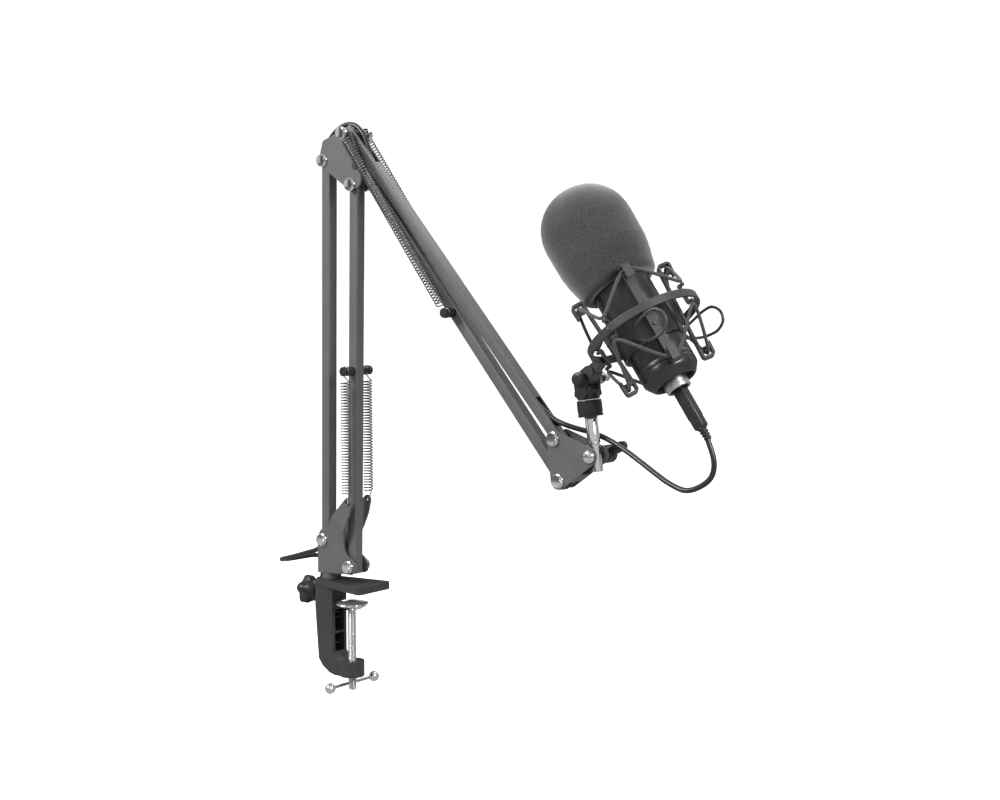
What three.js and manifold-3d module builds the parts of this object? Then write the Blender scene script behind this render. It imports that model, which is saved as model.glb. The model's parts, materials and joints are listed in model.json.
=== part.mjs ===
// Condenser microphone in a ring shock mount, on a sprung two-section desk arm with a table clamp.
// Millimetres, +Z up. The arm works in the XZ plane and reaches towards +X. The origin is on the
// underside of the clamp's upper jaw, above the clamp screw.
import * as THREE from "three";
import { mergeVertices } from "three/addons/utils/BufferGeometryUtils.js";
import { ConvexGeometry } from "three/addons/geometries/ConvexGeometry.js";
import Module from "manifold-3d";

const wasm = await Module();
wasm.setup();

// ---- driving dimensions ----------------------------------------------------------------------

const GAP = 0.3; // clearance left between pieces that touch
const LINK = 350; // every arm tube, pivot to pivot
const TUBE = 10.3; // square tube, outside
const WALL = 1.2; // tube wall
const TUBE_END = 6; // tube beyond its end pivot
const PLATE_OUT = 9.4; // outer face of a bracket plate, from the arm's mid plane
const PLATE_IN = 7.6; // inner face of a bracket plate
const BOLT_R = 2.9; // pivot bolt shank
const OPEN_HOLE_R = 4.4; // hole at the link's open pivot, with play
const SPRING_R = 4.3; // outside of an arm spring
const SPRING_Y = 14.5; // springs stand this far either side of the mid plane

const BASE_REAR = [-28.7, 43.7]; // pivots, as x and z
const BASE_FRONT = [4.7, 21.3];
const ELBOW_REAR = [-24, 393.6];
const ELBOW_FRONT = [10.9, 370.6];
const ELBOW_TOP = [6.3, 416.7]; // upper arm's top pivot, and the springs' long bolt
const ELBOW_LOW = [17.4, 387.6];
const HEAD_UPPER = [239.6, 155.9];
const HEAD_LOWER = [244.6, 121.4];
const HEAD_TILT = [276, 144];
const LOWER_PIN_AT = 181; // spring pin on the lower front tube, from its base pivot
const UPPER_PIN_AT = 171; // spring pin on the upper bottom tube, from its elbow pivot
const SPRING_EAR = [8.6, 82.4]; // spring hole in the base bracket's ears

const JAW_THICK = 7;
const JAW_FRONT = 30;
const JAW_HALF = 21.4; // half the jaw's width at its front
const SPINE_BACK = -38.5;
const SPINE_INNER = -16;
const SPINE_HALF = 9.5; // half the spine's width
const CLAMP_BOTTOM = -82.3;
const BOSS_TOP = -67.8;
const SCREW_R = 4;
const SCREW_END = -95.3;
const BAR_Z = -88.8;
const BAR_R = 1.6;
const BALL_R = 5;
const BAR_HALF = 29; // screw axis to ball centre
const CUP_RIM_Z = -13.5;
const CUP_R = 15.4;
const POST_X = -25.5;
const POST_R = 6;
const KNOB_Z = -8;

const STUD_LEAN = THREE.MathUtils.degToRad(8.8); // the stud leans back towards the clamp
const MIC_TILT = THREE.MathUtils.degToRad(35.4);
const RING_CENTRE = [321.9, 0, 249.3];
const RING_R = 48.9; // outside of the ring
const RING_WALL = 2.6;
const RING_HALF = 3.4; // half the ring band's height
const YOKE_PIVOT = [266.8, 206.4];
const BODY_R = 23.6;
const FOAM_R = 36.6;
const CORD_R = 2.25;

// ---- colours and finishes --------------------------------------------------------------------

const powder = { color: 0x3b3a3a, roughness: 0.5, metalness: 0.3 };
const castBlack = { color: 0x2c2c2c, roughness: 0.55, metalness: 0.3 };
const chrome = { color: 0xe6e6e4, roughness: 0.12, metalness: 1 };
const zinc = { color: 0xc9c8c2, roughness: 0.3, metalness: 1 };
const springSteel = { color: 0x4a4a49, roughness: 0.35, metalness: 0.9 };
const plastic = { color: 0x202021, roughness: 0.45, metalness: 0 };
const satinBlack = { color: 0x1b1b1d, roughness: 0.35, metalness: 0.4 };
const foam = { color: 0x2f2f30, roughness: 1, metalness: 0 };
const elastic = { color: 0x1d1d1e, roughness: 0.8, metalness: 0 };
const lead = { color: 0x191919, roughness: 0.5, metalness: 0 };
const steelMesh = { color: 0x77777a, roughness: 0.4, metalness: 1 };
const gold = { color: 0xc8a552, roughness: 0.3, metalness: 1 };

// ---- geometry helpers ------------------------------------------------------------------------

function toSolid(geometry) {
  const bare = geometry.clone();
  for (const name of Object.keys(bare.attributes)) if (name !== "position") bare.deleteAttribute(name);
  const merged = mergeVertices(bare, 1e-4);
  return new wasm.Manifold(
    new wasm.Mesh({
      numProp: 3,
      vertProperties: new Float32Array(merged.attributes.position.array),
      triVerts: new Uint32Array(merged.index.array),
    }),
  );
}

function toGeometry(solid) {
  const mesh = solid.getMesh();
  const geometry = new THREE.BufferGeometry();
  geometry.setAttribute("position", new THREE.BufferAttribute(new Float32Array(mesh.vertProperties), 3));
  geometry.setIndex(new THREE.BufferAttribute(new Uint32Array(mesh.triVerts), 1));
  return geometry;
}

function join(...pieces) {
  return toGeometry(pieces.map(toSolid).reduce((sum, piece) => sum.add(piece)));
}

function cut(piece, ...tools) {
  return toGeometry(tools.map(toSolid).reduce((rest, tool) => rest.subtract(tool), toSolid(piece)));
}

function rod(from, to, radius, sides = 16, endRadius = radius) {
  const a = new THREE.Vector3(...from);
  const b = new THREE.Vector3(...to);
  const along = b.clone().sub(a);
  const geometry = new THREE.CylinderGeometry(endRadius, radius, along.length(), sides);
  const turn = new THREE.Quaternion();
  turn.setFromUnitVectors(new THREE.Vector3(0, 1, 0), along.clone().normalize());
  geometry.applyQuaternion(turn);
  const mid = a.add(b).multiplyScalar(0.5);
  return geometry.translate(mid.x, mid.y, mid.z);
}

function box(low, high) {
  const size = high.map((value, i) => value - low[i]);
  const geometry = new THREE.BoxGeometry(...size);
  return geometry.translate(...low.map((value, i) => value + size[i] / 2));
}

// A rod across the arm, at x and z, from one y to another.
function cross([x, z], radius, fromY, toY, sides = 16) {
  return rod([x, fromY, z], [x, toY, z], radius, sides);
}

// A flat outline in the XZ plane, as a plate from one y to another.
function plate(outline, fromY, toY) {
  const shape = new THREE.Shape(outline.map(([x, z]) => new THREE.Vector2(x, z)));
  const geometry = new THREE.ExtrudeGeometry(shape, { depth: toY - fromY, bevelEnabled: false });
  return geometry.rotateX(Math.PI / 2).translate(0, toY, 0);
}

// The outline of a band stretched round several discs, each given as x, z and radius.
function around(discs, steps = 20) {
  const points = [];
  for (const [x, z, r] of discs)
    for (let i = 0; i < steps; i++) {
      const angle = (i / steps) * 2 * Math.PI;
      points.push([x + r * Math.cos(angle), z + r * Math.sin(angle)]);
    }
  points.sort((a, b) => a[0] - b[0] || a[1] - b[1]);
  const turnOf = (o, a, b) => (a[0] - o[0]) * (b[1] - o[1]) - (a[1] - o[1]) * (b[0] - o[0]);
  const half = (list) => {
    const chain = [];
    for (const point of list) {
      while (chain.length > 1 && turnOf(chain.at(-2), chain.at(-1), point) <= 1e-4) chain.pop();
      chain.push(point);
    }
    return chain.slice(0, -1);
  };
  return [...half(points), ...half([...points].reverse())];
}

function circleShape(radius, sides) {
  const points = [];
  for (let i = 0; i < sides; i++) {
    const angle = (i / sides) * 2 * Math.PI;
    points.push(new THREE.Vector2(radius * Math.cos(angle), radius * Math.sin(angle)));
  }
  return new THREE.Shape(points);
}

// An open round rod that follows a smooth line through the points.
function wire(points, radius, steps, sides = 8) {
  const path = new THREE.CatmullRomCurve3(
    points.map((point) => new THREE.Vector3(...point)), false, "centripetal");
  return new THREE.ExtrudeGeometry(circleShape(radius, sides), { steps, extrudePath: path });
}

function closedWire(points, radius, steps, sides = 6) {
  const corners = points.map((point) => new THREE.Vector3(...point));
  const path = new THREE.CatmullRomCurve3(corners, true, "centripetal");
  const frames = path.computeFrenetFrames(steps, true);
  const rings = path.getSpacedPoints(steps).slice(0, steps);
  const positions = rings.flatMap((centre, i) => Array.from({ length: sides }, (_, k) => {
    const angle = (k / sides) * 2 * Math.PI;
    const out = frames.normals[i].clone().multiplyScalar(radius * Math.cos(angle));
    return out.addScaledVector(frames.binormals[i], radius * Math.sin(angle)).add(centre).toArray();
  }).flat());
  const index = [];
  for (let i = 0; i < steps; i++)
    for (let k = 0; k < sides; k++) {
      const [a, b] = [i * sides + k, i * sides + ((k + 1) % sides)];
      const [c, d] = [a, b].map((v) => (v + sides) % (steps * sides));
      index.push(a, b, d, a, d, c);
    }
  const geometry = new THREE.BufferGeometry();
  geometry.setAttribute("position", new THREE.Float32BufferAttribute(positions, 3));
  geometry.setIndex(index);
  return geometry;
}

// A closed profile of radius and height, turned about Z.
function turned(profile, sides = 32) {
  const points = profile.map(([r, z]) => new THREE.Vector2(r, z));
  if (profile[0][0] > 0) points.push(points[0].clone());
  return new THREE.LatheGeometry(points, sides).rotateX(Math.PI / 2);
}

const group = new THREE.Group();

function add(name, geometry, finish, parent = group) {
  const bare = geometry.index ? geometry.toNonIndexed() : geometry;
  bare.computeVertexNormals();
  const mesh = new THREE.Mesh(bare, new THREE.MeshStandardMaterial(finish));
  mesh.name = name;
  parent.add(mesh);
  return mesh;
}

// A hexagon flange bolt across the arm, with its nut on the far side.
function flangeBolt(name, pivot, finish = chrome) {
  const head = PLATE_OUT + GAP;
  add(name, join(
    cross(pivot, 6, -head - 1, -head, 18),
    cross(pivot, 5.2, -head - 3, -head - 0.9, 6),
    cross(pivot, BOLT_R, -head - 0.2, head + 0.2, 14),
    cross(pivot, 5.6, head, head + 1.4, 18),
    cross(pivot, 5.2, head + 1.3, head + 5.4, 6),
  ), finish);
}

// ---- clamp -----------------------------------------------------------------------------------

function clampFrame() {
  const corner = 4;
  const jawOutline = around([-1, 1].flatMap((s) => [
    [JAW_FRONT - corner, s * (JAW_HALF - corner), corner],
    [SPINE_BACK + corner, s * (SPINE_HALF - corner), corner],
  ]), 16);
  const jawShape = new THREE.Shape(jawOutline.map(([x, y]) => new THREE.Vector2(x, y)));
  const jaw = new THREE.ExtrudeGeometry(jawShape, { depth: JAW_THICK, bevelEnabled: false });
  const side = [
    [SPINE_BACK, 2], [SPINE_BACK, -20], [SPINE_BACK + 4, -69], [SPINE_BACK + 9, -75.5],
    [SPINE_BACK + 17, -80.5], [SPINE_BACK + 24, CLAMP_BOTTOM], [0, CLAMP_BOTTOM], [0, BOSS_TOP],
    [-8, BOSS_TOP], [-12.5, -66], [SPINE_INNER, -61.5], [SPINE_INNER, 2],
  ];
  const spine = plate(side, -SPINE_HALF, SPINE_HALF);
  const boss = rod([0, 0, CLAMP_BOTTOM], [0, 0, BOSS_TOP], SPINE_HALF + 2, 24);
  const channelBack = SPINE_BACK + 8;
  const channel = box([channelBack, -6, -61], [SPINE_INNER + 1, 6, -44]);
  const upperChannel = box([channelBack, -6, -42], [SPINE_INNER + 1, 6, -21.5]);
  const postBore = rod([POST_X, 0, -19], [POST_X, 0, JAW_THICK + 1], POST_R + GAP, 20);
  const studBore = rod([SPINE_BACK - 1, 0, KNOB_Z], [POST_X, 0, KNOB_Z], 3 + GAP, 16);
  const screwBore = rod([0, 0, CLAMP_BOTTOM - 1], [0, 0, BOSS_TOP + 1], SCREW_R + GAP, 20);
  return cut(join(jaw, spine, boss), channel, upperChannel, postBore, studBore, screwBore);
}

function lockKnob() {
  const lobes = new THREE.Shape();
  const steps = 40;
  for (let i = 0; i < steps; i++) {
    const angle = (i / steps) * 2 * Math.PI;
    const r = 12 + 1.8 * Math.cos(5 * angle);
    lobes[i ? "lineTo" : "moveTo"](r * Math.cos(angle), r * Math.sin(angle));
  }
  const head = new THREE.ExtrudeGeometry(lobes, { depth: 10, bevelEnabled: false });
  head.rotateY(Math.PI / 2).translate(-60.3, 0, KNOB_Z);
  const neck = rod([-50.8, 0, KNOB_Z], [-44, 0, KNOB_Z], 10, 20, 6);
  const stud = rod([-45, 0, KNOB_Z], [POST_X - POST_R - GAP, 0, KNOB_Z], 3, 14);
  return join(head, neck, stud);
}

function pressureCup() {
  const top = CUP_RIM_Z;
  return turned([[0, top - 6.4], [4.9, top - 6.4], [8.5, top - 5.6], [12.8, top - 3.4], [CUP_R, top - 0.9],
    [CUP_R - 0.3, top], [12.6, top - 0.9], [8, top - 2.3], [0, top - 2.6]], 24);
}

function clampScrew() {
  const tip = CUP_RIM_Z - 6.4 - GAP;
  const shank = rod([0, 0, SCREW_END], [0, 0, tip], SCREW_R, 20);
  return cut(shank, cross([0, BAR_Z], BAR_R + GAP, -6, 6, 12));
}

function tommyBar() {
  const bar = cross([0, BAR_Z], BAR_R, -BAR_HALF, BAR_HALF, 12);
  const balls = [-1, 1].map((s) => new THREE.SphereGeometry(BALL_R, 12, 8).translate(0, s * BAR_HALF, BAR_Z));
  return join(bar, ...balls);
}

add("clamp_frame", clampFrame(), castBlack);
add("lock_knob", lockKnob(), plastic);
add("pressure_cup", pressureCup(), chrome);
add("clamp_screw", clampScrew(), zinc);
add("tommy_bar", tommyBar(), chrome);

// ---- turret and base bracket -----------------------------------------------------------------

const JOGGLE_FRONT = [-0.4, 43]; // the strip that steps out from side plate to ear, as x and z
const JOGGLE_REAR = [-20.3, 58.2];
const EAR_FRONT = [3.5, 57];
const EAR_REAR = [-11, 68];
const EAR_IN = 12; // inner face of an ear

function baseBracket() {
  const sidePlate = [[-34.5, 12.3], [-8, 14.3], [9, 14.7], [12.6, 17], [13.2, 23.5], [10, 28.2], [2.4, 33.2],
    [-0.4, 37.7], JOGGLE_FRONT, JOGGLE_REAR, [-26, 56], [-31.5, 51.8], [-34.4, 46], [-34.5, 38]];
  const pieces = [];
  for (const s of [-1, 1]) {
    const [inner, outer] = [s * PLATE_IN, s * PLATE_OUT].sort((a, b) => a - b);
    pieces.push(plate(sidePlate, inner, outer));
    const thick = PLATE_OUT - PLATE_IN;
    const strip = [[JOGGLE_FRONT, PLATE_IN], [JOGGLE_REAR, PLATE_IN],
      [EAR_FRONT, EAR_IN], [EAR_REAR, EAR_IN]];
    const corners = strip.flatMap(([[x, z], y]) => [0, thick].flatMap((out) => [0, -0.9].map((drop) =>
      new THREE.Vector3(x + drop / 2, s * (y + out), z + drop))));
    pieces.push(new ConvexGeometry(corners));
    const ear = around([[...EAR_FRONT, 0.4], [...EAR_REAR, 0.4], [1, 76.6, 0.6],
      [...SPRING_EAR, 4.4], [9.2, 71, 1]], 12);
    const [earIn, earOut] = [s * EAR_IN, s * (EAR_IN + thick)].sort((a, b) => a - b);
    pieces.push(plate(ear, earIn, earOut));
  }
  const web = box([-34.5, -PLATE_IN - 0.1, 12.4], [-10, PLATE_IN + 0.1, 14.2]);
  const post = rod([POST_X, 0, -17.5], [POST_X, 0, 12.5], POST_R, 20);
  const washer = rod([POST_X, 0, JAW_THICK + GAP], [POST_X, 0, 12.6], 9, 20);
  const bracket = join(...pieces, web, post, washer);
  const holes = [BASE_REAR, BASE_FRONT].map((pivot) => cross(pivot, BOLT_R + GAP, -12, 12));
  const springHoles = cross(SPRING_EAR, 1.6, -16, 16, 10);
  return cut(bracket, ...holes, springHoles);
}

add("base_bracket", baseBracket(), powder);
flangeBolt("base_bolt_rear", BASE_REAR);
flangeBolt("base_bolt_front", BASE_FRONT);

// ---- arm tubes -------------------------------------------------------------------------------

// A square tube between two pivots, with cord windows cut in one face. Its own x runs along it.
function armTube(name, from, to, { fromHole, toHole, windows = [], pinAt = null }) {
  const length = Math.hypot(to[0] - from[0], to[1] - from[1]);
  const half = TUBE / 2;
  const outer = box([-TUBE_END, -half, -half], [length + TUBE_END, half, half]);
  const inside = half - WALL;
  const bore = box([-TUBE_END - 1, -inside, -inside], [length + TUBE_END + 1, inside, inside]);
  const tools = [bore, cross([0, 0], fromHole, -8, 8), cross([length, 0], toHole, -8, 8)];
  for (const [start, end] of windows) tools.push(box([start, -3, 0], [end, 3, half + 1]));
  if (pinAt) tools.push(cross([pinAt, 0], 4.2 + GAP, -8, 8));
  const mesh = add(name, cut(outer, ...tools), powder);
  mesh.position.set(from[0], 0, from[1]);
  mesh.rotation.y = -Math.atan2(to[1] - from[1], to[0] - from[0]);
}

function alongLink(from, to, at, off = 0) {
  const length = Math.hypot(to[0] - from[0], to[1] - from[1]);
  const [dx, dz] = [(to[0] - from[0]) / length, (to[1] - from[1]) / length];
  return [from[0] + dx * at - dz * off, from[1] + dz * at + dx * off];
}

const LOWER_PIN = alongLink(BASE_FRONT, ELBOW_FRONT, LOWER_PIN_AT);
const UPPER_PIN = alongLink(ELBOW_LOW, HEAD_LOWER, UPPER_PIN_AT);

armTube("lower_rear_tube", BASE_REAR, ELBOW_REAR,
  { fromHole: BOLT_R + GAP, toHole: BOLT_R + GAP,
    windows: [[-TUBE_END - 1, 40], [LINK - 44, LINK + TUBE_END + 1]] });
armTube("lower_front_tube", BASE_FRONT, ELBOW_FRONT,
  { fromHole: BOLT_R + GAP, toHole: OPEN_HOLE_R, pinAt: LOWER_PIN_AT });
armTube("upper_top_tube", ELBOW_TOP, HEAD_UPPER,
  { fromHole: BOLT_R + GAP, toHole: BOLT_R + GAP, windows: [[-TUBE_END - 1, 40], [LINK - 40, LINK - 9]] });
armTube("upper_bottom_tube", ELBOW_LOW, HEAD_LOWER,
  { fromHole: BOLT_R + GAP, toHole: OPEN_HOLE_R, pinAt: UPPER_PIN_AT });

// ---- springs and their pins ------------------------------------------------------------------

function springPin(name, at) {
  const ends = [-1, 1].map((s) => cross(at, 3.3, s * 17, s * 18.2, 14));
  add(name, join(cross(at, 4.2, -17.1, 17.1, 14), ...ends), plastic);
}

function springBodies(name, from, to, clearFrom, clearTo) {
  const length = Math.hypot(to[0] - from[0], to[1] - from[1]);
  const start = alongLink(from, to, clearFrom);
  const end = alongLink(from, to, length - clearTo);
  for (const [side, s] of [["near", -1], ["far", 1]]) {
    const [low, high] = [start, end].map(([x, z]) => [x, s * SPRING_Y, z]);
    add(`${name}_${side}`, rod(low, high, SPRING_R, 12), springSteel);
  }
}

springPin("lower_spring_pin", LOWER_PIN);
springPin("upper_spring_pin", UPPER_PIN);
springBodies("lower_spring", LOWER_PIN, SPRING_EAR, 8, 8);
springBodies("upper_spring", ELBOW_TOP, UPPER_PIN, 6, 7.5);

// ---- elbow -----------------------------------------------------------------------------------

const elbowOutline = around([[-23.6, 393, 5], [-20.8, 408.7, 3], [-10, 412.6, 3], [6.3, 415.4, 5],
  [17.6, 388.6, 7.4], [17, 374.2, 7], [11, 371.6, 5.6]]);

function elbowPlate(name, s) {
  const [low, high] = [s * PLATE_IN, s * PLATE_OUT].sort((a, b) => a - b);
  const pivots = [ELBOW_REAR, ELBOW_FRONT, ELBOW_TOP, ELBOW_LOW];
  const holes = pivots.map((p) => cross(p, BOLT_R + GAP, -12, 12));
  add(name, cut(plate(elbowOutline, low, high), ...holes), powder);
}

function springBolt() {
  const reach = 15.6;
  return join(
    cross(ELBOW_TOP, 5.4, -reach - 3, -reach, 6),
    cross(ELBOW_TOP, BOLT_R - 0.2, -reach - 0.2, reach + 0.2, 14),
    cross(ELBOW_TOP, 5.2, reach, reach + 4, 6),
  );
}

elbowPlate("elbow_plate_near", -1);
elbowPlate("elbow_plate_far", 1);
flangeBolt("elbow_bolt_rear", ELBOW_REAR);
flangeBolt("elbow_bolt_front", ELBOW_FRONT);
add("elbow_pivot_pin", cross(ELBOW_LOW, BOLT_R, -PLATE_OUT, PLATE_OUT, 14), castBlack);
add("elbow_spring_bolt", springBolt(), chrome);

// ---- head bracket and tilt stud --------------------------------------------------------------

function headBracket() {
  const outline = around([[...HEAD_UPPER, 7], [...HEAD_LOWER, 7.2], [HEAD_TILT[0] - 0.7, HEAD_TILT[1], 7.6]]);
  const sides = [[-PLATE_OUT, -PLATE_IN], [PLATE_IN, PLATE_OUT]].map(([a, b]) => plate(outline, a, b));
  const edge = [HEAD_TILT[0] - 0.7 - HEAD_LOWER[0], HEAD_TILT[1] - HEAD_LOWER[1]];
  const slope = Math.atan2(edge[1], edge[0]);
  const web = box([9.5, -PLATE_IN - 0.1, -7.3], [20, PLATE_IN + 0.1, -5.6]);
  web.rotateY(-slope).translate(HEAD_LOWER[0], 0, HEAD_LOWER[1]);
  const holes = [HEAD_UPPER, HEAD_LOWER, HEAD_TILT].map((pivot) => cross(pivot, BOLT_R + GAP, -12, 12));
  return cut(join(...sides, web), ...holes);
}

const studUp = [-Math.sin(STUD_LEAN), Math.cos(STUD_LEAN)];
const onStud = (at) => [HEAD_TILT[0] + studUp[0] * at, 0, HEAD_TILT[1] + studUp[1] * at];

function mountStud() {
  const lower = rod(onStud(-13.2), onStud(9.4), 4.9, 20);
  const neck = rod(onStud(9.2), onStud(10.2), 4.4, 20);
  const upper = rod(onStud(10), onStud(38), 5.3, 20);
  return cut(join(lower, neck, upper), cross(HEAD_TILT, BOLT_R + GAP, -8, 8));
}

// The through bolt has a domed head on the near side; the wing knob is fixed on its far end.
function wingKnob() {
  const out = PLATE_OUT + GAP;
  const dome = turned([[0, 0], [5.6, 0], [5.1, 1.6], [3.4, 2.8], [0, 3.3]], 16).rotateX(Math.PI / 2);
  dome.translate(HEAD_TILT[0], -out, HEAD_TILT[1]);
  const shank = cross(HEAD_TILT, BOLT_R, -out - 0.2, out + 4, 14);
  const hub = cross(HEAD_TILT, 7.5, out, out + 11, 18);
  const wings = [-1, 1].map((s) => {
    const wing = plate(around([[s * 4, 0, 3.4], [s * 16.5, 1, 4]], 12), out + 4, out + 9);
    return wing.rotateY(THREE.MathUtils.degToRad(-24)).translate(HEAD_TILT[0], 0, HEAD_TILT[1]);
  });
  return join(dome, shank, hub, ...wings);
}

add("head_bracket", headBracket(), powder);
flangeBolt("head_bolt_upper", HEAD_UPPER);
flangeBolt("head_bolt_lower", HEAD_LOWER);
add("mount_stud", mountStud(), chrome);
add("wing_knob", wingKnob(), plastic);

// ---- socket and yoke -------------------------------------------------------------------------

function socketCollar() {
  const sleeve = rod(onStud(32), onStud(45.6), 10.3, 24);
  return cut(sleeve, rod(onStud(31), onStud(38.3 + GAP), 5.3 + GAP, 20));
}

function yoke() {
  const base = rod(onStud(45.9), onStud(50.5), 9, 20);
  const section = [[-6, 49], [6, 49], [-5.5, 53.5], [5.5, 53.5]];
  const bridge = new ConvexGeometry([-1, 1].flatMap((side) => section.map(
    ([off, at]) => {
      const [x, , z] = onStud(at);
      return new THREE.Vector3(x + off * studUp[1], side * 11, z - off * studUp[0]);
    })));
  const foot = onStud(51);
  const prong = around([[foot[0], foot[2], 5.2], [...YOKE_PIVOT, 5.8]]);
  const prongs = [[-11, -7], [7, 11]].map(([a, b]) => plate(prong, a, b));
  return cut(join(base, bridge, ...prongs), cross(YOKE_PIVOT, 2.5 + GAP, -14, 14, 14));
}

function thumbScrew() {
  const head = cross(YOKE_PIVOT, 5, -14, -11 - GAP, 16);
  const shank = cross(YOKE_PIVOT, 2.5, -11.5, 12, 14);
  const grip = cross(YOKE_PIVOT, 5.2, 11 + GAP, 20, 16);
  const outline = around([[-6.5, 0, 3], [6.5, 0, 3]], 12);
  const wing = plate(outline, 14, 20).translate(YOKE_PIVOT[0], 0, YOKE_PIVOT[1]);
  return join(head, shank, grip, wing);
}

add("socket_collar", socketCollar(), plastic);
add("yoke", yoke(), plastic);
add("thumb_screw", thumbScrew(), plastic);

// ---- shock mount, in the microphone's own frame: z along its axis towards the foam -------------

const mic = new THREE.Group();
mic.position.set(...RING_CENTRE);
mic.rotation.y = -MIC_TILT;
group.add(mic);

// A point of the world, in the microphone's own frame.
function inMicFrame([x, z]) {
  const point = new THREE.Vector3(x - RING_CENTRE[0], 0, z - RING_CENTRE[2]);
  point.applyAxisAngle(new THREE.Vector3(0, 1, 0), MIC_TILT);
  return [point.x, point.z];
}

function outerRing() {
  const inner = RING_R - RING_WALL;
  const band = turned([[inner, -RING_HALF], [RING_R, -RING_HALF],
    [RING_R, RING_HALF], [inner, RING_HALF]], 48);
  const [px, pz] = inMicFrame(YOKE_PIVOT);
  const lugArm = plate(around([[px, pz, 6.4], [px + 8, pz + 1.5, 5.2]]), -6.7, 6.7);
  const lugFoot = plate(around([[px + 6, pz + 1.5, 4.4], [-RING_R - 2, 0, RING_HALF - 0.1]], 16), -5, 5);
  const hole = rod([px, -9, pz], [px, 9, pz], 2.5 + GAP, 14);
  return cut(join(band, lugArm, lugFoot), hole);
}

const HOOK_ANGLES = [0, 90, 180, 270];
const HOOK_REACH = 7.5; // hooks end this far above and below the ring's middle
const KNOB_R = 1.6; // the knobs at a hook's ends
const FRAME_ANGLES = [45, 135, 225, 315];
const FRAME_HALF = 43.5; // half a cage frame's length
const FRAME_WIDE = 5.6; // half its reach out from the axis
const FRAME_MID = [36.4, -2.5]; // its middle, from the axis and along it
const FRAME_SPLAY = THREE.MathUtils.degToRad(3.3); // frames stand further out towards the foam
const STRAP = 2; // strap thickness
const STRAP_HALF = 3.3; // half the strap's width
const SHELF = 36; // the elastic rests on a shelf this far from a frame's middle
const HOOK_END = 31; // the strap's turned-back ends stop here
const JAW_R = 27; // outside of the jaws
const JAW_LOW = -20;
const JAW_TOP = 8;
const ELASTIC_R = 1.3;

function aroundAxis(geometry, degrees) {
  return geometry.rotateZ(THREE.MathUtils.degToRad(degrees));
}

// A hook is a small bracket inside the band, with a knob over each edge of it.
function ringHook(degrees) {
  const r = RING_R - RING_WALL - GAP;
  const arm = box([r - 2, -2.2, -HOOK_REACH], [r, 2.2, HOOK_REACH]);
  const knobs = [-1, 1].map((s) => rod([r - 2, 0, s * HOOK_REACH], [r + 3.6, 0, s * HOOK_REACH], KNOB_R, 10));
  return aroundAxis(join(arm, ...knobs), degrees);
}

// A cage frame is one strap: it runs beside the body, turns out at both ends and back on itself, and
// has a shelf inside each turned end that the elastic rests on.
function cageFrame(degrees) {
  const corner = 3;
  const outline = around([-1, 1].flatMap((s) => [-1, 1].map((t) =>
    [s * (FRAME_WIDE - corner), t * (FRAME_HALF - corner), corner])), 12);
  const inside = FRAME_WIDE - STRAP;
  const middle = box([-inside, -4, STRAP - SHELF], [inside, 4, SHELF - STRAP]);
  const gap = box([0, -4, -HOOK_END], [FRAME_WIDE + 1, 4, HOOK_END]);
  const windows = [-1, 1].map((s) => {
    const [low, high] = [s * SHELF, s * (FRAME_HALF - STRAP)].sort((p, q) => p - q);
    return box([-inside, -4, low], [inside, 4, high]);
  });
  const frame = cut(plate(outline, -STRAP_HALF, STRAP_HALF), middle, gap, ...windows);
  return aroundAxis(frame.rotateY(FRAME_SPLAY).translate(FRAME_MID[0], 0, FRAME_MID[1]), degrees);
}

// Each jaw is a half shell round the body, with an arm out to each of its frames and a wire handle.
function cageJaw(s) {
  const shell = turned([[BODY_R + 0.8, JAW_LOW], [JAW_R, JAW_LOW],
    [JAW_R, JAW_TOP], [BODY_R + 0.8, JAW_TOP]], 32);
  const split = 0.8;
  const side = s < 0 ? box([-60, -60, -60], [60, -split, 60]) : box([-60, split, -60], [60, 60, 60]);
  const halfShell = toGeometry(toSolid(shell).intersect(toSolid(side)));
  const armOut = FRAME_MID[0] - FRAME_WIDE - 1.4;
  const arms = [s * 45, s * 135].map((angle) =>
    aroundAxis(box([JAW_R - 0.8, -2.6, JAW_LOW + 8], [armOut, 2.6, JAW_TOP - 2]), angle));
  return join(halfShell, ...arms, squeezeHandle(s));
}

const HANDLE_Y = 41; // the wire handle's loop lies in a plane this far from the axis
const HANDLE_LOOP = [[31, -6.8], [39.6, -8.6], [44, -16], [41.5, -23.4], [34, -26.8], [27, -26.2]];

// The handle's wire leaves the jaw, runs out and round as a drop-shaped loop, and comes back to the jaw.
function squeezeHandle(s) {
  const loop = HANDLE_LOOP.map(([out, z]) => [out, s * HANDLE_Y, z]);
  const points = [[-2, s * 25.4, -12], [3, s * 30.6, -11.4], [10, s * 36.6, -9.8],
    [20, s * 40.2, -7.8], ...loop,
    [20, s * 38.6, -24.4], [14, s * 33.6, -21.2], [9.6, s * 29, -18], [7, s * 24.8, -15.6]];
  return wire(points, 1.2, 30, 6);
}

// One elastic runs round through all four frames and over the four hooks between them.
function elasticBand(s) {
  const points = [];
  const place = (degrees, r, side, z) => {
    const a = THREE.MathUtils.degToRad(degrees);
    points.push([r * Math.cos(a) - side * Math.sin(a), r * Math.sin(a) + side * Math.cos(a), s * z]);
  };
  const onShelf = SHELF + GAP + ELASTIC_R + 0.1;
  const frameR = FRAME_MID[0] + s * Math.sin(FRAME_SPLAY) * onShelf + 0.8;
  const hookR = RING_R - 1;
  for (let i = 0; i < 4; i++) {
    for (const side of [-4, 4]) place(FRAME_ANGLES[i], frameR, side, onShelf + s * FRAME_MID[1]);
    for (const side of [-1.6, 1.6])
      place(HOOK_ANGLES[(i + 1) % 4], hookR, side, HOOK_REACH + KNOB_R + GAP + ELASTIC_R + 0.3);
  }
  return closedWire(points, ELASTIC_R, 48);
}

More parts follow.
